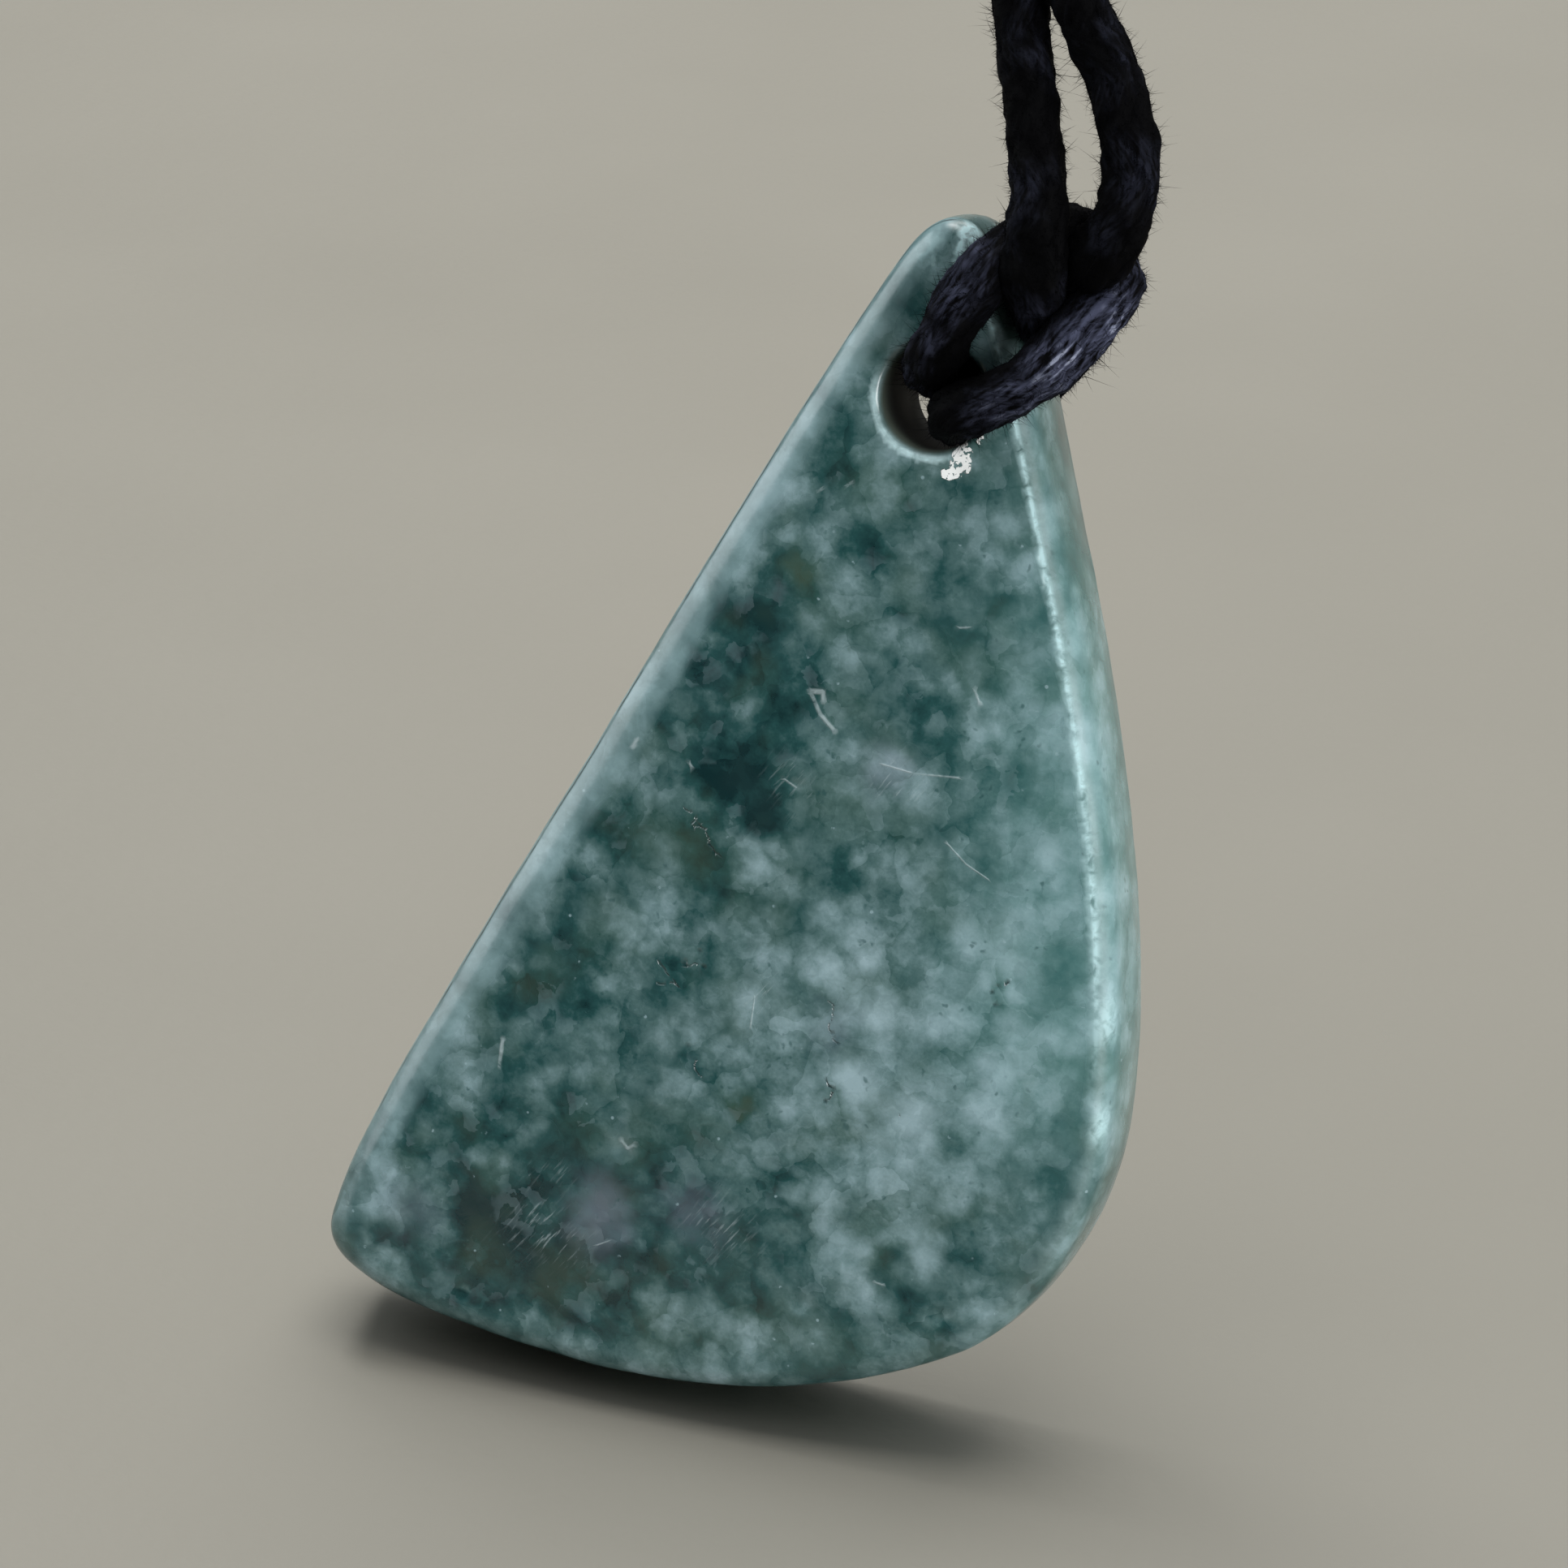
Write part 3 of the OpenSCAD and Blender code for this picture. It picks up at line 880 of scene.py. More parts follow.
@dataclass
class Pendant:
    """The flat, hand-cut stone with its worked edges and drilled hole."""

    hang: Hang = field(default_factory=Hang)
    width: float = 27.9
    height: float = 44.3
    thickness: float = 4.8
    crown: float = 0.4
    edge_depth: float = 0.9
    back_edge: float = 0.5
    wall_bulge: float = 0.12
    hole_d: float = 3.7
    hole_drop: float = 6.2
    hole_bevel: float = 0.32
    bevel_sink: float = 1.3
    lip_toward: float = 236.0
    waviness: Unevenness = Unevenness(0.022, 9.0, 3)
    ripple: Unevenness = Unevenness(0.008, 2.6, 4)
    tool_marks: Unevenness = Unevenness(0.002, 0.7, 5)
    outline_steps: int = 90
    edge_steps: int = 14
    wall_steps: int = 7
    hole_sides: int = 112
    mouth_steps: int = 5
    back_mouth_steps: int = 4
    front_spacing: float = 0.15
    fine_spacing: float = 0.04
    fine_reach: float = 0.12
    back_spacing: float = 0.3
    finish: JadeFinish = field(default_factory=JadeFinish)

    def __post_init__(self) -> None:
        """Works out the outline and the middle of the face."""
        west, east = -0.556 * self.width, 0.444 * self.width
        south = self.hole_drop - self.height
        self.stops = (
            Stop(-0.6, self.hole_drop, 180, 1.6, 1.0, 0.85),
            Stop(-2.6, self.hole_drop - 2.0, 247, 1.2, 3.5, 1.0),
            Stop(0.575 * west, 0.362 * south, 252, 7, 7, 1.4),
            Stop(west, 0.937 * south, 270, 3.2, 1.6, 1.2),
            Stop(0.516 * west, south, 0, 5.5, 7, 0.9),
            Stop(0.722 * east, 0.869 * south, 37, 6, 2.5, 0.8),
            Stop(east, 0.64 * south, 93, 3.8, 5.5, 0.75),
            Stop(0.505 * east, 0.142 * south, 116, 7, 7.3, 0.65),
        )
        self.middle = np.array([-0.13 * self.width, 0.56 * south])

    def outline(self) -> tuple[np.ndarray, np.ndarray, np.ndarray]:
        """Walks round the outline from the tip to the left.

        Returns:
            The points, the outward directions and the widths of the front edge.
        """
        t = np.arange(self.outline_steps)[:, None] / self.outline_steps
        points, edges = [], []
        for here, there in zip(self.stops, self.stops[1:] + self.stops[:1]):
            start, end = np.array([here.across, here.along]), np.array([there.across, there.along])
            leave, arrive = math.radians(here.heading), math.radians(there.heading)
            first = start + here.ahead * np.array([math.cos(leave), math.sin(leave)])
            second = end - there.behind * np.array([math.cos(arrive), math.sin(arrive)])
            points.append(
                (1 - t) ** 3 * start + 3 * (1 - t) ** 2 * t * first
                + 3 * (1 - t) * t ** 2 * second + t ** 3 * end
            )
            edges.append(here.edge + (there.edge - here.edge) * ease(t[:, 0], 0, 1))
        walk = np.concatenate(points)
        along = np.roll(walk, -1, axis=0) - np.roll(walk, 1, axis=0)
        outward = np.stack([along[:, 1], -along[:, 0]], axis=1)
        outward /= np.linalg.norm(outward, axis=1, keepdims=True)
        room = np.linalg.norm(walk, axis=1) - self.hole_d / 2 - self.hole_bevel - 2 * self.front_spacing
        return walk, outward, np.minimum(np.concatenate(edges), room)

    def _toward_rim(self, rim: np.ndarray, values: np.ndarray, points: np.ndarray) -> np.ndarray:
        """Reads a value of the rim in the direction of each point from the middle of the face.

        Args:
            rim: The rim's points.
            values: The value at each of them.
            points: The points.

        Returns:
            The values.
        """
        arms, away = rim - self.middle, points - self.middle
        turns = np.arctan2(arms[:, 1], arms[:, 0])
        order = np.argsort(turns)
        asked = np.arctan2(away[:, 1], away[:, 0])
        return np.interp(asked, turns[order], values[order], period=2 * math.pi)

    def _rim_radius(self, rim: np.ndarray, points: np.ndarray) -> np.ndarray:
        """How far the rim lies from the middle of the face, in the direction of each point."""
        return self._toward_rim(rim, np.linalg.norm(rim - self.middle, axis=1), points)

    def _fill_face(
        self, rim: np.ndarray, mouth: np.ndarray, spacing: float, fine_lines: Sequence[Stroke] = ()
    ) -> tuple[np.ndarray, np.ndarray]:
        """Fills a face between its rim and the mouth of the hole with even triangles.

        Args:
            rim: Points of the rim.
            mouth: Points of the mouth.
            spacing: Distance between the points inside.
            fine_lines: Lines beside which the triangles are much smaller.

        Returns:
            The points inside, and the triangles, numbered rim first, then mouth, then the inside.
        """
        low, high = rim.min(axis=0), rim.max(axis=0)
        columns = np.arange(low[0], high[0], spacing)
        rows = np.arange(low[1], high[1], spacing * math.sqrt(0.75))
        x, y = np.meshgrid(columns, rows)
        x[1::2] += spacing / 2
        inside = np.stack([x.ravel(), y.ravel()], axis=1)
        wide = [Stroke(1.2 * self.fine_reach, line.path) for line in fine_lines]
        clear = line_mask(wide, inside[:, 0], inside[:, 1]) < 0.5
        inside = np.concatenate([inside[clear]] + [self._beside(line) for line in fine_lines])
        reach = np.linalg.norm(inside - self.middle, axis=1)
        mouth_radius = np.linalg.norm(mouth[0])
        keep = reach < self._rim_radius(rim, inside) - 0.8 * spacing
        keep &= np.linalg.norm(inside, axis=1) > mouth_radius + 0.6 * spacing
        inside = inside[keep]
        every = np.concatenate([rim, mouth, inside])
        loops = [
            (base + i, base + (i + 1) % size)
            for base, size in ((0, len(rim)), (len(rim), len(mouth)))
            for i in range(size)
        ]
        _, _, triangles, origins, _, _ = delaunay_2d_cdt(
            [Vector(p) for p in every.tolist()], loops, [], 0, 1e-7, True
        )
        numbers = np.array([origin[0] for origin in origins])
        faces = numbers[np.array(triangles)]
        centres = every[faces].mean(axis=1)
        keep = np.linalg.norm(centres - self.middle, axis=1) < self._rim_radius(rim, centres)
        keep &= np.linalg.norm(centres, axis=1) > mouth_radius * 0.999
        return inside, faces[keep]

    def _beside(self, line: Stroke) -> np.ndarray:
        """Places a fine grid of points along a line and on both sides of it.

        Args:
            line: The line.

        Returns:
            The points.
        """
        steps = np.arange(-self.fine_reach, self.fine_reach + 1e-6, self.fine_spacing)
        rows = []
        for start, end in zip(np.array(line.path), np.array(line.path)[1:]):
            length = np.linalg.norm(end - start)
            along = (end - start) / length
            walked = np.arange(0, length, self.fine_spacing)[:, None, None]
            across = steps[None, :, None] * np.array([-along[1], along[0]])
            rows.append((start + walked * along + across).reshape(-1, 2))
        return np.unique(np.concatenate(rows).round(2), axis=0)

    def _crown_height(self, rim: np.ndarray, points: np.ndarray) -> np.ndarray:
        """Height of the gently crowned front face at each point inside its rim."""
        share = np.linalg.norm(points - self.middle, axis=1) / self._rim_radius(rim, points)
        return self.crown * (1 - np.clip(share, 0, 1) ** 2)

    def _rings(self) -> list[np.ndarray]:
        """Rings round the stone from the rim of the front face to the rim of the back face.

        Returns:
            The rings, as points in the stone's frame.
        """
        walk, outward, edge = self.outline()
        rings = []
        for step in range(self.edge_steps + 1):
            turn = math.pi / 2 * (1 - step / self.edge_steps)
            inset = (1 - math.cos(turn)) * edge
            rings.append((inset, -self.edge_depth * (1 - math.sin(turn))))
        wall_top, wall_foot = -self.edge_depth, -self.thickness + self.back_edge
        for step in range(1, self.wall_steps):
            share = step / self.wall_steps
            bulge = self.wall_bulge * math.sin(math.pi * share)
            rings.append((np.full(len(walk), -bulge), wall_top + (wall_foot - wall_top) * share))
        for step in range(self.edge_steps + 1):
            turn = math.pi / 2 * step / self.edge_steps
            inset = np.full(len(walk), self.back_edge * (1 - math.cos(turn)))
            rings.append((inset, wall_foot - self.back_edge * math.sin(turn)))
        return [
            np.column_stack([walk - inset[:, None] * outward, np.full(len(walk), z)])
            for inset, z in rings
        ]

    def _bore(self, front_rim: np.ndarray) -> list[np.ndarray]:
        """Rings of the hole from its front mouth to its back mouth.

        Args:
            front_rim: The rim of the front face.

        Returns:
            The rings, as points in the stone's frame.
        """
        turns = np.arange(self.hole_sides) * 2 * math.pi / self.hole_sides
        circle = np.stack([np.cos(turns), np.sin(turns)], axis=1)
        radius = self.hole_d / 2
        mouth = circle * (radius + self.hole_bevel)
        top = self._crown_height(front_rim, mouth)
        rings = []
        for step in range(self.mouth_steps + 1):
            turn = math.pi / 2 * step / self.mouth_steps
            out = radius + self.hole_bevel * (1 - math.sin(turn))
            sink = self.bevel_sink * self.hole_bevel * (1 - math.cos(turn))
            rings.append(np.column_stack([circle * out, top - sink]))
        neck = rings[-1][:, 2]
        for share in (0.25, 0.5, 0.75):
            depth = neck * (1 - share) + (-self.thickness + self.hole_bevel) * share
            rings.append(np.column_stack([circle * radius, depth]))
        for step in range(self.back_mouth_steps + 1):
            turn = math.pi / 2 * step / self.back_mouth_steps
            out = radius + self.hole_bevel * (1 - math.cos(turn))
            depth = np.full(len(circle), -self.thickness + self.hole_bevel * (1 - math.sin(turn)))
            rings.append(np.column_stack([circle * out, depth]))
        return rings

    def _relief(self, points: np.ndarray) -> np.ndarray:
        """Height of the hand-worked surface over the drawn one.

        Args:
            points: Points in the stone's frame.

        Returns:
            The heights in millimetres.
        """
        clear_of_hole = ease(np.hypot(points[:, 0], points[:, 1]), 2.6, 6.0)
        waves = self.waviness.at(points) + self.ripple.at(points)
        front = ease(points[:, 2], -1.2, -0.2)
        dents = front * chart(PITS, points[:, 0], points[:, 1])
        return waves * (0.25 + 0.75 * clear_of_hole) + self.tool_marks.at(points) - dents

    @staticmethod
    def _wandering(points: np.ndarray, axis: int, seed: int) -> np.ndarray:
        """Pushes the places on one axis about a little, so that no marking has an even rim."""
        wide, fine = Unevenness(0.14, 1.1, seed), Unevenness(0.05, 0.45, seed + 1)
        return points[:, axis] + wide.at(points) + fine.at(points)

    @staticmethod
    def _tone(x: np.ndarray, y: np.ndarray) -> np.ndarray:
        """Reads how pale the stone is at each place, from -1 in the veins to 1 in the clouds."""
        return np.tanh(chart(CLOUDS, x, y) - chart(SHADOWS, x, y))

    def _charts(self, points: np.ndarray) -> dict[str, np.ndarray]:
        """Reads every chart of the stone's markings, and of the painted highlights and shade on it, at
        its points.

        Args:
            points: Points in the stone's frame.

        Returns:
            The values for the finish.
        """
        x, y = self._wandering(points, 0, 11), self._wandering(points, 1, 13)
        front = ease(points[:, 2], -4.2, -1.6)
        tone = self._tone(x, y)
        # The back carries the front's clouds and veins, turned half round
        behind = self._tone(-2.0 - x, -34.0 - y)
        near_face = ease(points[:, 2], -1.0, -0.3)
        rim = self._rings()[0][:, :2]
        from_middle = np.linalg.norm(points[:, :2] - self.middle, axis=1)
        share = from_middle / self._rim_radius(rim, points[:, :2])
        _, outward, _ = self.outline()
        # How far the rim faces left: the side given the painted sheen and the crease's painted shade
        worked = self._toward_rim(rim, ease(-outward[:, 0], 0.1, 0.7), points[:, :2])
        from_hole = np.hypot(points[:, 0], points[:, 1])
        lip_turn = np.arctan2(points[:, 1], points[:, 0]) - math.radians(self.lip_toward)
        lip_side = ease(np.cos(lip_turn), 0.1, 0.85)
        past_rim = (share - 1) * from_middle / np.maximum(share, 0.01)
        right = self._toward_rim(rim, ease(outward[:, 0], 0.5, 0.85), points[:, :2])
        # Painted sheen on the face's rim, strongest where it faces left and weaker at the bottom;
        # partly wear, partly painted reflection
        rubbed_sheen = (0.1 + 0.9 * worked) * (0.25 + 0.75 * ease(points[:, 1], -35.5, -31.0))
        # Painted highlight along the upper right front edge, partly a worn pale band
        ridge_highlight = right * near_face * np.exp(-((past_rim - 0.12) / 0.14) ** 2)
        ridge_highlight *= ease(points[:, 1], -24.0, -15.0)
        return {
            "stone": points,
            "tone": front * tone + (1 - front) * behind,
            "olive": front * chart(OLIVE_HAZE, x, y),
            "lilac": front * chart(LILAC_HAZE, x, y),
            "strokes": near_face * chart(BRUSHED, x, y),
            "scratch": near_face * line_mask(SCRATCHES, points[:, 0], points[:, 1]),
            "crack": near_face * line_mask(CRACKS, x, y),
            "teal": ease(x + 0.12 * y, 0.5, 8.0) * ease(y, -29.0, -19.0),
            "rubbed_sheen": rubbed_sheen * ease(share, 0.93, 1.03) * ease(points[:, 2], -1.6, -0.6),
            "rounded": right * ease(points[:, 2], -1.6, -0.8) * ease(past_rim, -0.3, 0.1),
            "worked": worked * (share > 1),
            "ridge_highlight": np.maximum(ridge_highlight, near_face * chart(HIGHLIGHT_SPOTS, points[:, 0], points[:, 1])),
            "bore": 1 - ease(from_hole, self.hole_d / 2, self.hole_d / 2 + 0.5 * self.hole_bevel),
            # Painted highlight on the hole's lower-left rim, partly a pale ground-down edge
            "lip_wear_and_glint": lip_side * near_face * np.exp(-(((from_hole - self.hole_d / 2 - 0.27) / 0.1) ** 2)),
            "chip_glint": near_face * chart(CHIP_GLINTS, x, y),
        }

    def build(self) -> bpy.types.Object:
        """Builds and dresses the stone.

        Returns:
            The piece.
        """
        rings = self._rings()
        front_rim, back_rim = rings[0][:, :2], rings[-1][:, :2]
        bore = self._bore(front_rim)
        lines = SCRATCHES + CRACKS
        front, front_faces = self._fill_face(front_rim, bore[0][:, :2], self.front_spacing, lines)
        back, back_faces = self._fill_face(back_rim, bore[-1][:, :2], self.back_spacing)
        sides = len(front_rim)
        bore_start = len(rings) * sides
        front_start = bore_start + len(bore) * self.hole_sides
        back_start = front_start + len(front)
        points = np.concatenate(rings + bore + [
            np.column_stack([front, self._crown_height(front_rim, front)]),
            np.column_stack([back, np.full(len(back), -self.thickness)]),
        ])
        faces: list[list[int]] = []
        for k in range(len(rings) - 1):
            faces += ring_faces(k * sides, (k + 1) * sides, sides).tolist()
        for k in range(len(bore) - 1):
            first = bore_start + k * self.hole_sides
            faces += ring_faces(first, first + self.hole_sides, self.hole_sides).tolist()
        face_rows = (
            (front_faces, 0, bore_start, front_start, len(front)),
            (back_faces, bore_start - sides, front_start - self.hole_sides, back_start, len(back)),
        )
        for triangles, rim_at, mouth_at, inside_at, inside_count in face_rows:
            numbers = np.concatenate([
                rim_at + np.arange(sides),
                mouth_at + np.arange(self.hole_sides),
                inside_at + np.arange(inside_count),
            ])
            faces += numbers[triangles].tolist()
        charts = self._charts(points)
        piece = build_mesh("jade_pendant", self.hang.to_chest(points), faces, charts)
        self._carve(piece, points)
        piece.data.materials.append(self.finish.material())
        return place_piece(piece, "jade", "pendant")

    def _carve(self, piece: bpy.types.Object, points: np.ndarray) -> None:
        """Moves each point of the stone along its normal by the relief.

        Args:
            piece: The stone.
            points: Its points in its own frame.
        """
        count = len(points)
        normals, places = np.empty(count * 3, np.float32), np.empty(count * 3, np.float32)
        piece.data.vertices.foreach_get("normal", normals)
        piece.data.vertices.foreach_get("co", places)
        shift = self._relief(points)[:, None] * MM * normals.reshape(-1, 3)
        piece.data.vertices.foreach_set("co", (places.reshape(-1, 3) + shift).ravel())
        piece.data.update()


# Route of the hitch in the stone's own frame, in metres, one strand in and the other out:
# across, along, out of the face, share of the cord's diameter that is left where it is squeezed
HITCH_ROUTE = (
    (-0.0023, 0.018, -0.0008, 1.0),
    (-0.0006, 0.0144, -0.0001, 1.0),
    (0.0007, 0.0114, 0.0004, 1.0),
    (0.0017, 0.0091, 0.0009, 1.0),
    (0.0024, 0.0072, 0.0013, 0.95),
    (0.00265, 0.006, 0.00135, 0.82),
    (0.00275, 0.0051, 0.0013, 0.77),
    (0.00295, 0.0043, 0.0009, 0.75),
    (0.0032, 0.00365, 0.0001, 0.72),
    (0.00335, 0.0034, -0.0012, 0.72),
    (0.00345, 0.0032, -0.003, 0.73),
    (0.00335, 0.003, -0.0047, 0.82),
    (0.0029, 0.0023, -0.0058, 0.88),
    (0.0021, 0.0012, -0.006, 0.9),
    (0.00125, 0.0001, -0.0055, 0.9),
    (0.00085, -0.00045, -0.0044, 0.9),
    (0.00085, -0.00045, -0.0003, 0.9),
    (0.0013, -0.0001, 0.0009, 0.95),
    (0.00235, 0.00055, 0.00135, 1.0),
    (0.0033, 0.0014, 0.00145, 1.0),
    (0.0041, 0.00235, 0.00145, 0.95),
    (0.0046, 0.0033, 0.00115, 0.85),
    (0.0049, 0.0042, 0.0005, 0.75),
    (0.0051, 0.005, -0.00055, 0.72),
    (0.00465, 0.00575, -0.0014, 0.72),
    (0.004, 0.0062, -0.0021, 0.72),
    (0.0032, 0.0063, -0.0024, 0.72),
    (0.00235, 0.00625, -0.002, 0.72),
    (0.0018, 0.00595, -0.0011, 0.75),
    (0.0014, 0.00545, 0.0001, 0.75),
    (0.00105, 0.0047, 0.001, 0.85),
    (0.0006, 0.00365, 0.0013, 0.95),
    (0.00025, 0.0025, 0.00125, 1.0),
    (-0.0001, 0.0015, 0.0008, 1.0),
    (-0.0005, 0.00085, -0.0008, 0.9),
    (-0.0005, 0.00085, -0.0043, 0.9),
    (-0.0001, 0.0016, -0.0055, 0.9),
    (0.0006, 0.0029, -0.006, 0.9),
    (0.0015, 0.004, -0.0058, 0.88),
    (0.0023, 0.00475, -0.0048, 0.8),
    (0.00265, 0.0048, -0.0032, 0.72),
    (0.0028, 0.00485, -0.0018, 0.72),
    (0.00315, 0.0051, -0.0006, 0.72),
    (0.00375, 0.00555, 0.00005, 0.72),
    (0.00445, 0.006, 0.00085, 0.76),
    (0.00505, 0.00685, 0.00115, 0.86),
    (0.00525, 0.0081, 0.0011, 0.92),
    (0.0049, 0.0099, 0.0009, 0.97),
    (0.0038, 0.0119, 0.0007, 1.0),
    (0.002, 0.0142, 0.0006, 1.0),
    (0.0012, 0.0158, 0.0005, 1.0),
    (0.001, 0.018, 0.0, 1.0),
)

# Route of the left side of the loop in the necklace's frame, in metres, from the hitch to the nape
NECK_ROUTE = (
    (-0.008, -0.127, -0.104),
    (-0.017, -0.119, -0.092),
    (-0.027, -0.109, -0.078),
    (-0.037, -0.097, -0.063),
    (-0.046, -0.084, -0.049),
    (-0.053, -0.070, -0.036),
    (-0.058, -0.055, -0.024),
    (-0.060, -0.043, -0.016),
    (-0.058, -0.031, -0.010),
    (-0.052, -0.020, -0.005),
    (-0.043, -0.011, -0.001),
    (-0.032, -0.004, 0.001),
    (-0.020, -0.001, 0.0023),
    (-0.011, 0.0, 0.0025),
)


class Side(Enum):
    """The two sides of the loop: the sign of X on each."""

    LEFT = -1
    RIGHT = 1


@dataclass
class BraidedCord:
    """A round braid of cotton strands laid along a route, with the fuzz that the wax lets loose."""

    diameter: float = 1.9 * MM
    strands_each_way: int = 6
    pitch: float = 11 * MM
    strand_crown: float = 0.11 * MM
    strand_lift: float = 0.05 * MM
    yarns_per_strand: int = 2
    yarn_crown: float = 0.014 * MM
    lay_width: float = 1.4
    unevenness: float = 0.028 * MM
    wide_lump: float = 1.6 * MM
    fine_lump: float = 0.5 * MM
    route_steps: int = 24
    ring_spacing: float = 0.13 * MM
    sides: int = 60
    hairs_per_mm: float = 8.0
    hair_length: float = 0.22 * MM
    fuzz_per_mm: float = 52.0
    fuzz_length: float = 0.16 * MM
    hair_radius: float = 0.012 * MM
    hair_taper: float = 0.75
    hair_root: float = 0.03 * MM
    hair_sweep: float = 0.9
    hair_lean: float = 0.5
    hair_curl: float = 0.6
    even_dryness: float = 0.25
    sideways: float = 0.8
    press: tuple[float, float, float] = (0.0, 1.0, 0.0)
    seed: int = 1
    finish: WaxedCordFinish = field(default_factory=WaxedCordFinish)

    def smooth_route(self, route: np.ndarray) -> np.ndarray:
        """Runs a smooth curve through the route, with points at equal distances.

        Args:
            route: The route's rows: a place, and anything else that changes along it.

        Returns:
            The denser rows.
        """
        ends = np.vstack([2 * route[0] - route[1], route, 2 * route[-1] - route[-2]])
        t = (np.arange(self.route_steps) / self.route_steps)[:, None]
        parts = []
        for a, b, c, d in zip(ends, ends[1:], ends[2:], ends[3:]):
            bend, twist = 2 * a - 5 * b + 4 * c - d, 3 * b - a - 3 * c + d
            parts.append((2 * b + (c - a) * t + bend * t ** 2 + twist * t ** 3) / 2)
        dense = np.vstack(parts + [route[-1:]])
        steps = np.linalg.norm(np.diff(dense[:, :3], axis=0), axis=1)
        travelled = np.concatenate([[0], np.cumsum(steps)])
        count = max(2, round(travelled[-1] / self.ring_spacing))
        stations = np.linspace(0, travelled[-1], count + 1)
        return np.column_stack([np.interp(stations, travelled, column) for column in dense.T])

    @staticmethod
    def _carried_sides(path: np.ndarray) -> tuple[np.ndarray, np.ndarray, np.ndarray]:
        """Carries a side direction along a path with the least turning.

        Args:
            path: The path's points.

        Returns:
            The directions along, to the side and across, at each point.
        """
        along = np.gradient(path, axis=0)
        along /= np.linalg.norm(along, axis=1, keepdims=True)
        # Any direction does to start with, as long as no route sets out along it
        side = np.array([0.1, 1.0, 0.2])
        sides = np.empty_like(path)
        for i, heading in enumerate(along):
            side = side - heading * (side @ heading)
            side /= np.linalg.norm(side)
            sides[i] = side
        return along, sides, np.cross(along, sides)

    def _weave(self, turn: np.ndarray, travelled: np.ndarray) -> tuple[np.ndarray, np.ndarray]:
        """Lays the strands over two and under two of the others.

        Args:
            turn: Angle round the cord at each point.
            travelled: Distance along the cord at each point.

        Returns:
            The height over the core, and the lay: across the top strand, along it, and its number.
        """
        round_share = self.strands_each_way * turn / (2 * math.pi)
        advance = self.strands_each_way * travelled / self.pitch
        best, lay = np.full(turn.shape, -1.0), np.zeros(turn.shape + (3,))
        for way, lag in ((1, 0), (-1, 1)):
            own, other = round_share + way * advance, round_share - way * advance
            number = np.floor(own)
            across = own - number
            over = np.sin(math.pi / 2 * (other - number - lag))
            rounded = np.sqrt(np.clip(1 - (2 * across - 1) ** 2, 0, 1))
            yarns = np.cos(2 * math.pi * self.yarns_per_strand * (across - 0.5))
            height = self.strand_crown * rounded + self.strand_lift * over + self.yarn_crown * yarns
            top = height > best
            best = np.where(top, height, best)
            # Strands of the two ways get numbers, and so fibres, of their own
            strand = number % self.strands_each_way + 5 * way
            found = np.stack([across * self.lay_width, travelled / MM, strand], axis=-1)
            lay = np.where(top[..., None], found, lay)
        return best, lay

    def _hairs(
        self,
        points: np.ndarray,
        outward: np.ndarray,
        along: np.ndarray,
        count: int,
        size: float,
        joints: int,
    ) -> tuple[np.ndarray, list[list[int]]]:
        """Grows fine hairs on the cord.

        Args:
            points: Points of the cord's surface.
            outward: Outward directions there.
            along: Directions along the cord there.
            count: How many hairs grow.
            size: Their mean length.
            joints: Into how many stretches each is divided.

        Returns:
            The hairs' points and faces.
        """
        rng = np.random.default_rng(self.seed + joints)
        roots = rng.integers(0, len(points), count)
        sizes = size * rng.gamma(2.0, 0.5, (count, 1))
        lean = rng.normal(0, self.hair_sweep, (count, 1)) * along[roots]
        lean = lean + rng.normal(0, self.hair_lean, (count, 3))
        first = outward[roots] + lean
        first /= np.linalg.norm(first, axis=1, keepdims=True)
        curl = rng.normal(0, self.hair_curl, (count, 3))
        base = points[roots] - outward[roots] * self.hair_root
        # Shifted a little, so that a hair along the cord still gets a side
        side = np.cross(first, along[roots] + 0.01)
        side /= np.linalg.norm(side, axis=1, keepdims=True)
        rings = []
        for share in np.arange(joints) / joints:
            middle = base + sizes * (share * first + share * share * curl)
            width = self.hair_radius * (1 - self.hair_taper * share)
            for corner in range(3):
                turn = 2 * math.pi * corner / 3
                way = math.cos(turn) * side + math.sin(turn) * np.cross(first, side)
                rings.append(middle + width * way)
        hair_points = np.stack(rings + [base + sizes * (first + curl)], axis=1).reshape(-1, 3)
        tip, last = 3 * joints, 3 * (joints - 1)
        pattern = []
        for first_point in range(0, last, 3):
            pattern += ring_faces(first_point, first_point + 3, 3).tolist()
        pattern += [[last + corner, last + (corner + 1) % 3, tip] for corner in range(3)]
        starts = (tip + 1) * np.arange(count)[:, None]
        faces: list[list[int]] = []
        for face in pattern:
            faces += (starts + np.array(face)).tolist()
        return hair_points, faces

    def bloom_and_sheen_along(self, rows: np.ndarray) -> np.ndarray:
        """How much bloom of dried wax each row of the route carries: an even amount, on a plain cord;
        the hitch adds painted sheen.
        """
        return np.full(len(rows), self.even_dryness)

    def bloom_and_sheen_side(self, path: np.ndarray, outward: np.ndarray) -> np.ndarray:
        """How much of the bloom shows on each side of the cord: all of it, on a plain cord."""
        return np.ones(outward.shape[:2])

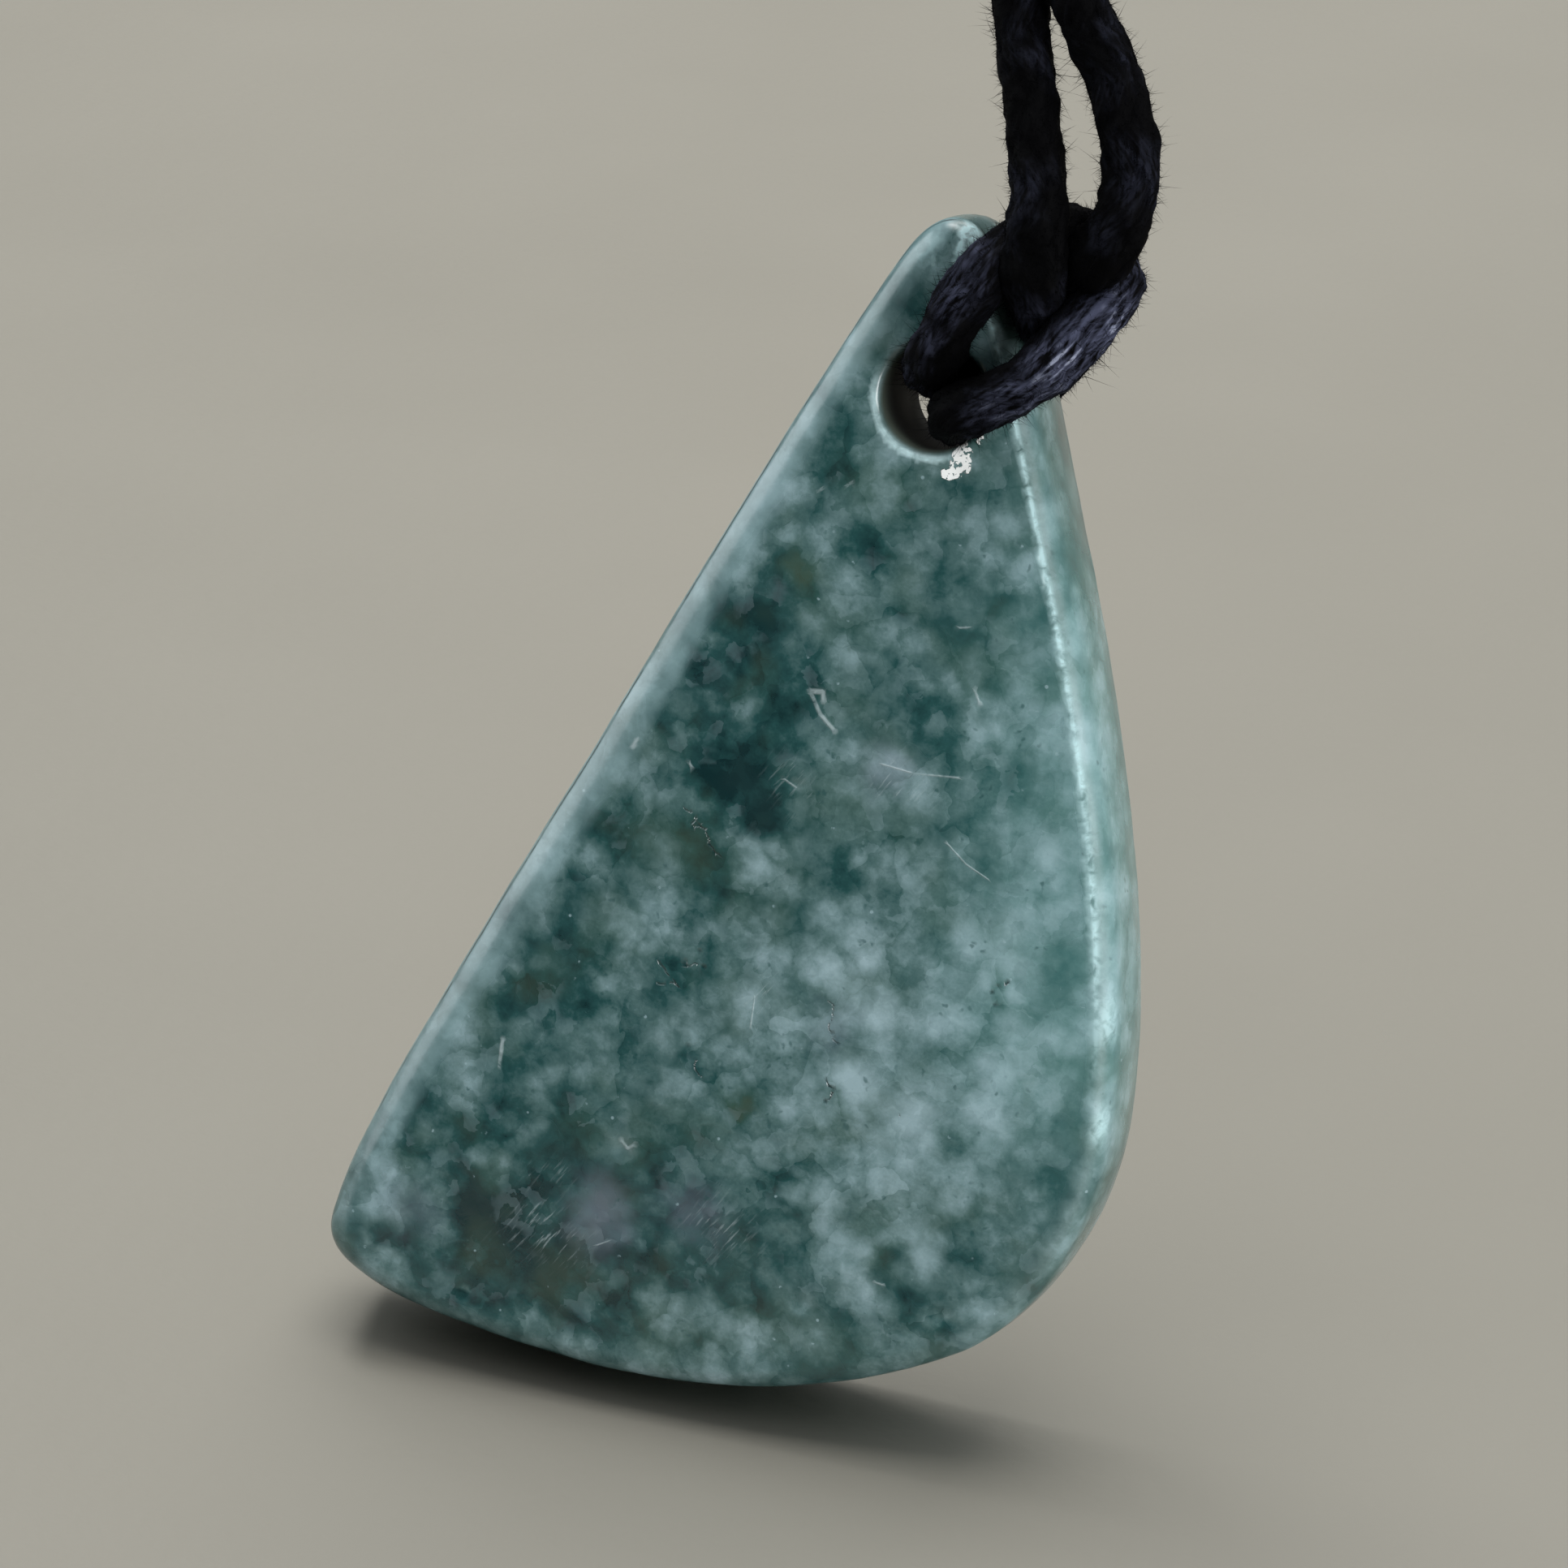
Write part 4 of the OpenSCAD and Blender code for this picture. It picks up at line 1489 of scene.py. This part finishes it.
    def _flatten(self, offsets: np.ndarray, along: np.ndarray, share: np.ndarray) -> np.ndarray:
        """Presses the cord's sections flat where it is squeezed, and lets them spread sideways.

        Args:
            offsets: The surface's distances from the route, ring by ring.
            along: The route's direction at each ring.
            share: Share of the diameter that is left at each ring.

        Returns:
            The pressed offsets.
        """
        press = self.press - along * (along @ self.press)[:, None]
        grip = np.linalg.norm(press, axis=1, keepdims=True)
        press /= np.maximum(grip, 0.05)
        thin = 1 - (1 - share) * grip ** 2
        wide = 1 + (share ** -self.sideways - 1) * grip ** 2
        through = np.einsum("rsk,rk->rs", offsets, press)[..., None] * press[:, None]
        return offsets * wide[..., None] + through * (thin - wide)[..., None]

    def _tube_faces(self, count: int) -> list[list[int]]:
        """Joins the rings of the cord's surface and closes its ends.

        Args:
            count: How many rings there are.

        Returns:
            The faces; the two points that follow the rings are the middles of the ends.
        """
        faces: list[list[int]] = []
        for k in range(count - 1):
            faces += ring_faces(k * self.sides, (k + 1) * self.sides, self.sides).tolist()
        after = count * self.sides
        for start, middle in ((0, after), (after - self.sides, after + 1)):
            faces += [[start + i, start + (i + 1) % self.sides, middle] for i in range(self.sides)]
        return faces

    def build_along(
        self, name: str, route: np.ndarray, squeeze: Optional[np.ndarray] = None
    ) -> bpy.types.Object:
        """Builds and dresses one piece of cord.

        Args:
            name: The piece's name.
            route: The route in metres.
            squeeze: Share of the diameter that is left at each row of the route.

        Returns:
            The piece.
        """
        shares = np.ones(len(route)) if squeeze is None else squeeze
        dense = self.smooth_route(np.column_stack([route, shares, self.bloom_and_sheen_along(np.arange(len(route)))]))
        path, share = dense[:, :3], dense[:, 3:4]
        along, side, across = self._carried_sides(path)
        count = len(path)
        travelled = np.arange(count)[:, None] * self.ring_spacing * np.ones((1, self.sides))
        turn = np.arange(self.sides)[None, :] * (2 * math.pi / self.sides) * np.ones((count, 1))
        height, lay = self._weave(turn, travelled)
        outward = np.cos(turn)[..., None] * side[:, None] + np.sin(turn)[..., None] * across[:, None]
        flat = (path[:, None] + outward * self.diameter / 2).reshape(-1, 3)
        lumps = wave_field(flat, self.wide_lump, self.seed + 20)
        lumps = lumps + 0.6 * wave_field(flat, self.fine_lump, self.seed + 21)
        core = self.diameter / 2 - self.strand_crown - 0.5 * self.strand_lift
        radius = core + height + self.unevenness * lumps.reshape(count, self.sides)
        surface = path[:, None] + self._flatten(outward * radius[..., None], along, share)
        top = np.clip(height / (self.strand_crown + self.strand_lift), 0, 1)
        points = surface.reshape(-1, 3)
        faces = self._tube_faces(count)
        skin = (points, outward.reshape(-1, 3), np.repeat(along, self.sides, axis=0))
        points = np.vstack([points, path[:1], path[-1:]])
        length = self.ring_spacing * (count - 1) / MM
        for per_mm, size, joints in (
            (self.hairs_per_mm, self.hair_length, 3),
            (self.fuzz_per_mm, self.fuzz_length, 1),
        ):
            hairs, hair_faces = self._hairs(*skin, round(length * per_mm), size, joints)
            faces += [[len(points) + corner for corner in face] for face in hair_faces]
            points = np.vstack([points, hairs])
        extra = np.zeros(len(points) - count * self.sides)
        bloom_and_sheen = (dense[:, 4:] * self.bloom_and_sheen_side(path, outward)).ravel()
        run = np.stack([np.cos(turn), np.sin(turn), travelled / MM], axis=-1)
        attributes = {
            "run": np.vstack([run.reshape(-1, 3), np.zeros((len(extra), 3))]),
            "lay": np.vstack([lay.reshape(-1, 3), np.zeros((len(extra), 3))]),
            "top": np.concatenate([top.ravel(), extra]),
            "bloom_and_sheen": np.concatenate([bloom_and_sheen, extra]),
        }
        piece = build_mesh(name, points, faces, attributes)
        piece.data.materials.append(self.finish.material())
        return piece


class BloomAndSheenStretch(NamedTuple):
    """A stretch of cord painted greyer, partly dry wax and partly painted sheen: its middle row, its
    reach in rows, how much greyer.
    """

    middle: float
    reach: float
    amount: float


@dataclass
class Hitch(BraidedCord):
    """The stretch of cord that is tied to the stone with a lark's head."""

    diameter: float = 1.94 * MM
    unevenness: float = 0.03 * MM
    hairs_per_mm: float = 11.0
    fuzz_per_mm: float = 400.0
    knot_middle: tuple[float, float] = (2.8 * MM, 4.0 * MM)
    # The legs are painted greyer: partly dry wax, partly painted sheen
    bloom_and_sheen_legs: tuple[BloomAndSheenStretch, ...] = (BloomAndSheenStretch(20.8, 2.6, 0.85), BloomAndSheenStretch(30.8, 2.4, 0.6))
    hang: Hang = field(default_factory=Hang)

    def __post_init__(self) -> None:
        """Presses the strands together square to the stone's face."""
        lean = math.radians(self.hang.lean)
        self.press = (0.0, -math.cos(lean), math.sin(lean))

    def bloom_and_sheen_along(self, rows: np.ndarray) -> np.ndarray:
        """How much bloom each row carries: the two legs over the stone are greyer than the strands
        above, partly dry wax and partly painted sheen where they catch the light.

        Args:
            rows: Number of each row of the route.

        Returns:
            The share of bloom and painted sheen at each row.
        """
        bloom_and_sheen = super().bloom_and_sheen_along(rows)
        for leg in self.bloom_and_sheen_legs:
            bloom_and_sheen = bloom_and_sheen + leg.amount * np.exp(-((rows - leg.middle) / leg.reach) ** 2)
        return bloom_and_sheen

    def bloom_and_sheen_side(self, path: np.ndarray, outward: np.ndarray) -> np.ndarray:
        """The sides turned away from the middle of the knot show the bloom and painted sheen; the sides
        towards it stay dark, a painted shade where the strands shade the legs.

        Args:
            path: The route's points.
            outward: Outward directions round each of them.

        Returns:
            The share of the bloom and sheen that shows, ring by ring.
        """
        middle = self.hang.to_chest(np.array([[*self.knot_middle, 0.0]]) / MM)
        away = path - middle
        away /= np.linalg.norm(away, axis=1, keepdims=True)
        return ease(np.einsum("rsk,rk->rs", outward, away), -0.6, 0.5)

    def route(self) -> tuple[np.ndarray, np.ndarray]:
        """Gives the hitch's places in metres, and the shares of the diameter that are left there."""
        rows = np.array(HITCH_ROUTE)
        return self.hang.to_chest(rows[:, :3] / MM), rows[:, 3]

    def build(self) -> bpy.types.Object:
        """Builds the hitch."""
        piece = self.build_along("lark_head_hitch", *self.route())
        return place_piece(piece, "waxed_cord", "hitch")


@dataclass
class NeckCord(BraidedCord):
    """One side of the loop, from a strand of the hitch over the shoulder to the knot."""

    side: Side = Side.LEFT
    hitch: Hitch = field(default_factory=Hitch)
    lead: float = 3 * MM
    knot_reach: float = 4.5 * MM
    knot_rise: float = 2.5 * MM
    ring_spacing: float = 0.17 * MM
    sides: int = 48

    def route(self) -> np.ndarray:
        """The side's route in the necklace's frame.

        Returns:
            The places in metres.
        """
        places, _ = self.hitch.route()
        end, before = (places[0], places[1]) if self.side is Side.LEFT else (places[-1], places[-2])
        onward = (end - before) / np.linalg.norm(end - before)
        neck = np.array(NECK_ROUTE) * [-self.side.value, 1, 1]
        knot = np.array([self.side.value * self.knot_reach, 0, self.knot_rise])
        return np.vstack([end, end + self.lead * onward, neck, knot])

    def build(self) -> bpy.types.Object:
        """Builds the side."""
        node = "neck_cord_" + self.side.name.lower()
        return place_piece(self.build_along(node + "_braid", self.route()), "waxed_cord", node)


@dataclass
class NapeKnot(BraidedCord):
    """The barrel knot at the nape: one end wound closely round the other."""

    length: float = 9 * MM
    width: float = 5 * MM
    rise: float = 2.5 * MM
    turns: float = 3.5
    run_in: float = 0.14
    points_per_turn: int = 12
    sides: int = 56

    def route(self) -> np.ndarray:
        """The winding's route: out from the axis, round it, and back to it.

        Returns:
            The places in metres.
        """
        wound = self.width / 2 - self.diameter / 2
        count = round(self.turns * self.points_per_turn)
        share = np.linspace(0, 1, count + 1)
        swell = ease(share, 0.0, self.run_in) * (1 - ease(share, 1 - self.run_in, 1.0))
        turn = 2 * math.pi * self.turns * share
        x = (share - 0.5) * (self.length - self.diameter)
        reach = wound * swell
        winding = np.column_stack([x, reach * np.cos(turn), self.rise + reach * np.sin(turn)])
        lead = np.array([self.diameter / 2, 0, 0])
        return np.vstack([winding[0] - lead, winding, winding[-1] + lead])

    def build(self) -> bpy.types.Object:
        """Builds the knot."""
        piece = self.build_along("nape_barrel_knot", self.route())
        return place_piece(piece, "waxed_cord", "nape_knot")


def toward(azimuth: float, elevation: float) -> Vector:
    """Direction at degrees round from straight ahead, towards X, and at degrees above level."""
    turn, rise = math.radians(azimuth), math.radians(elevation)
    return Vector((math.sin(turn) * math.cos(rise), -math.cos(turn) * math.cos(rise), math.sin(rise)))


@dataclass
class SoftLight:
    """One soft light of the studio, aimed at the stone."""

    name: str
    azimuth: float
    elevation: float
    distance: float
    width: float
    height: float
    power: float
    tint: tuple[float, float, float] = (1.0, 1.0, 1.0)
    lights_floor: bool = True

    def build(self, target: Vector, necklace: bpy.types.Collection) -> None:
        """Sets the light up.

        Args:
            target: The point that it is aimed at.
            necklace: What it lights where it leaves the floor dark.
        """
        lamp = bpy.data.lights.new(self.name, "AREA")
        lamp.shape = "RECTANGLE"
        lamp.size = self.width
        lamp.size_y = self.height
        lamp.energy = self.power
        lamp.color = self.tint
        stand = bpy.data.objects.new(self.name, lamp)
        away = toward(self.azimuth, self.elevation)
        stand.location = target + away * self.distance
        stand.rotation_euler = away.to_track_quat("Z", "Y").to_euler()
        bpy.context.scene.collection.objects.link(stand)
        if not self.lights_floor:
            stand.light_linking.receiver_collection = necklace


@dataclass
class Studio:
    """The pale floor, the soft lights and the camera at the photograph's angle."""

    look_at: tuple[float, float, float] = (-6.17 * MM, -142.90 * MM, -141.45 * MM)
    azimuth: float = 19.3
    elevation: float = 29.0
    distance: float = 150 * MM
    lens: float = 96.9
    floor_size: float = 8.0
    floor_gap: float = 0.05 * MM
    sky_above: Colour = paint(214, 218, 222)
    sky_ahead: Colour = paint(22, 23, 25)
    sky_axis: tuple[float, float, float] = (0.0, 0.3, 0.95)
    sky_strength: float = 0.8
    lights: tuple[SoftLight, ...] = (
        SoftLight("window", 184.0, 70.0, 0.55, 0.5, 0.5, 2.1, (1.0, 0.99, 0.97)),
        SoftLight("window_pane", 222.0, 62.0, 0.55, 0.12, 0.12, 0.5),
        SoftLight("left_panel", -80.0, 20.0, 0.35, 0.35, 0.25, 0.75, (0.92, 0.97, 1.0), False),
        SoftLight("right_panel", 62.0, 12.0, 0.4, 0.3, 0.3, 2.1, (1.0, 1.0, 1.0), False),
    )
    finish: FloorFinish = field(default_factory=FloorFinish)

    def _floor(self, height: float) -> None:
        """Lays the floor.

        Args:
            height: Its height.
        """
        half = self.floor_size / 2
        corners = np.array([[-half, -half, 0], [half, -half, 0], [half, half, 0], [-half, half, 0]])
        floor = build_mesh("pale_floor", corners + [0, 0, height], [[0, 1, 2, 3]], {})
        floor.data.materials.append(self.finish.material())

    def _camera(self) -> None:
        """Sets the camera up."""
        lens = bpy.data.cameras.new("photo_camera")
        lens.lens = self.lens
        lens.sensor_width = 36
        lens.clip_start = 1 * MM
        lens.clip_end = 20
        camera = bpy.data.objects.new("photo_camera", lens)
        away = toward(self.azimuth, self.elevation)
        camera.matrix_world = Matrix.LocRotScale(
            Vector(self.look_at) + away * self.distance, away.to_track_quat("Z", "Y"), None
        )
        bpy.context.scene.collection.objects.link(camera)
        bpy.context.scene.camera = camera

    def _sky(self) -> None:
        """Lights the scene softly from above, and less from ahead."""
        g = Graph(bpy.data.worlds.new("soft_sky"))
        way = g.node("ShaderNodeTexCoord", None, None, "Generated")
        upward = g.vector_math("DOT_PRODUCT", {0: way, 1: self.sky_axis}, "Value")
        colour = g.blend(self.sky_ahead, self.sky_above, upward.step(0.25, 0.95))
        inputs = {"Color": colour, "Strength": self.sky_strength}
        bpy.context.scene.world = g.end("ShaderNodeBackground", "ShaderNodeOutputWorld", inputs)

    def build(self, pieces: Iterable[bpy.types.Object], floor_height: float) -> None:
        """Sets the studio up.

        Args:
            pieces: The pieces of the necklace.
            floor_height: Height of its lowest point.
        """
        self._floor(floor_height - self.floor_gap)
        self._sky()
        necklace = bpy.data.collections.new("necklace")
        for piece in pieces:
            necklace.objects.link(piece)
        for light in self.lights:
            light.build(Vector(self.look_at), necklace)
        self._camera()
        bpy.context.scene.view_settings.view_transform = "Standard"
        log.info("studio: %d lights", len(self.lights))


def main() -> None:
    """Builds the necklace and its studio."""
    logging.basicConfig(level=logging.INFO, format="%(message)s")
    hitch = Hitch(seed=2)
    pieces = [
        Pendant().build(),
        hitch.build(),
        NeckCord(side=Side.LEFT, hitch=hitch, seed=3).build(),
        NeckCord(side=Side.RIGHT, hitch=hitch, seed=4).build(),
        NapeKnot(seed=5).build(),
    ]
    Studio().build(pieces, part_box("pendant")[0].z)


if __name__ == "__main__":
    main()
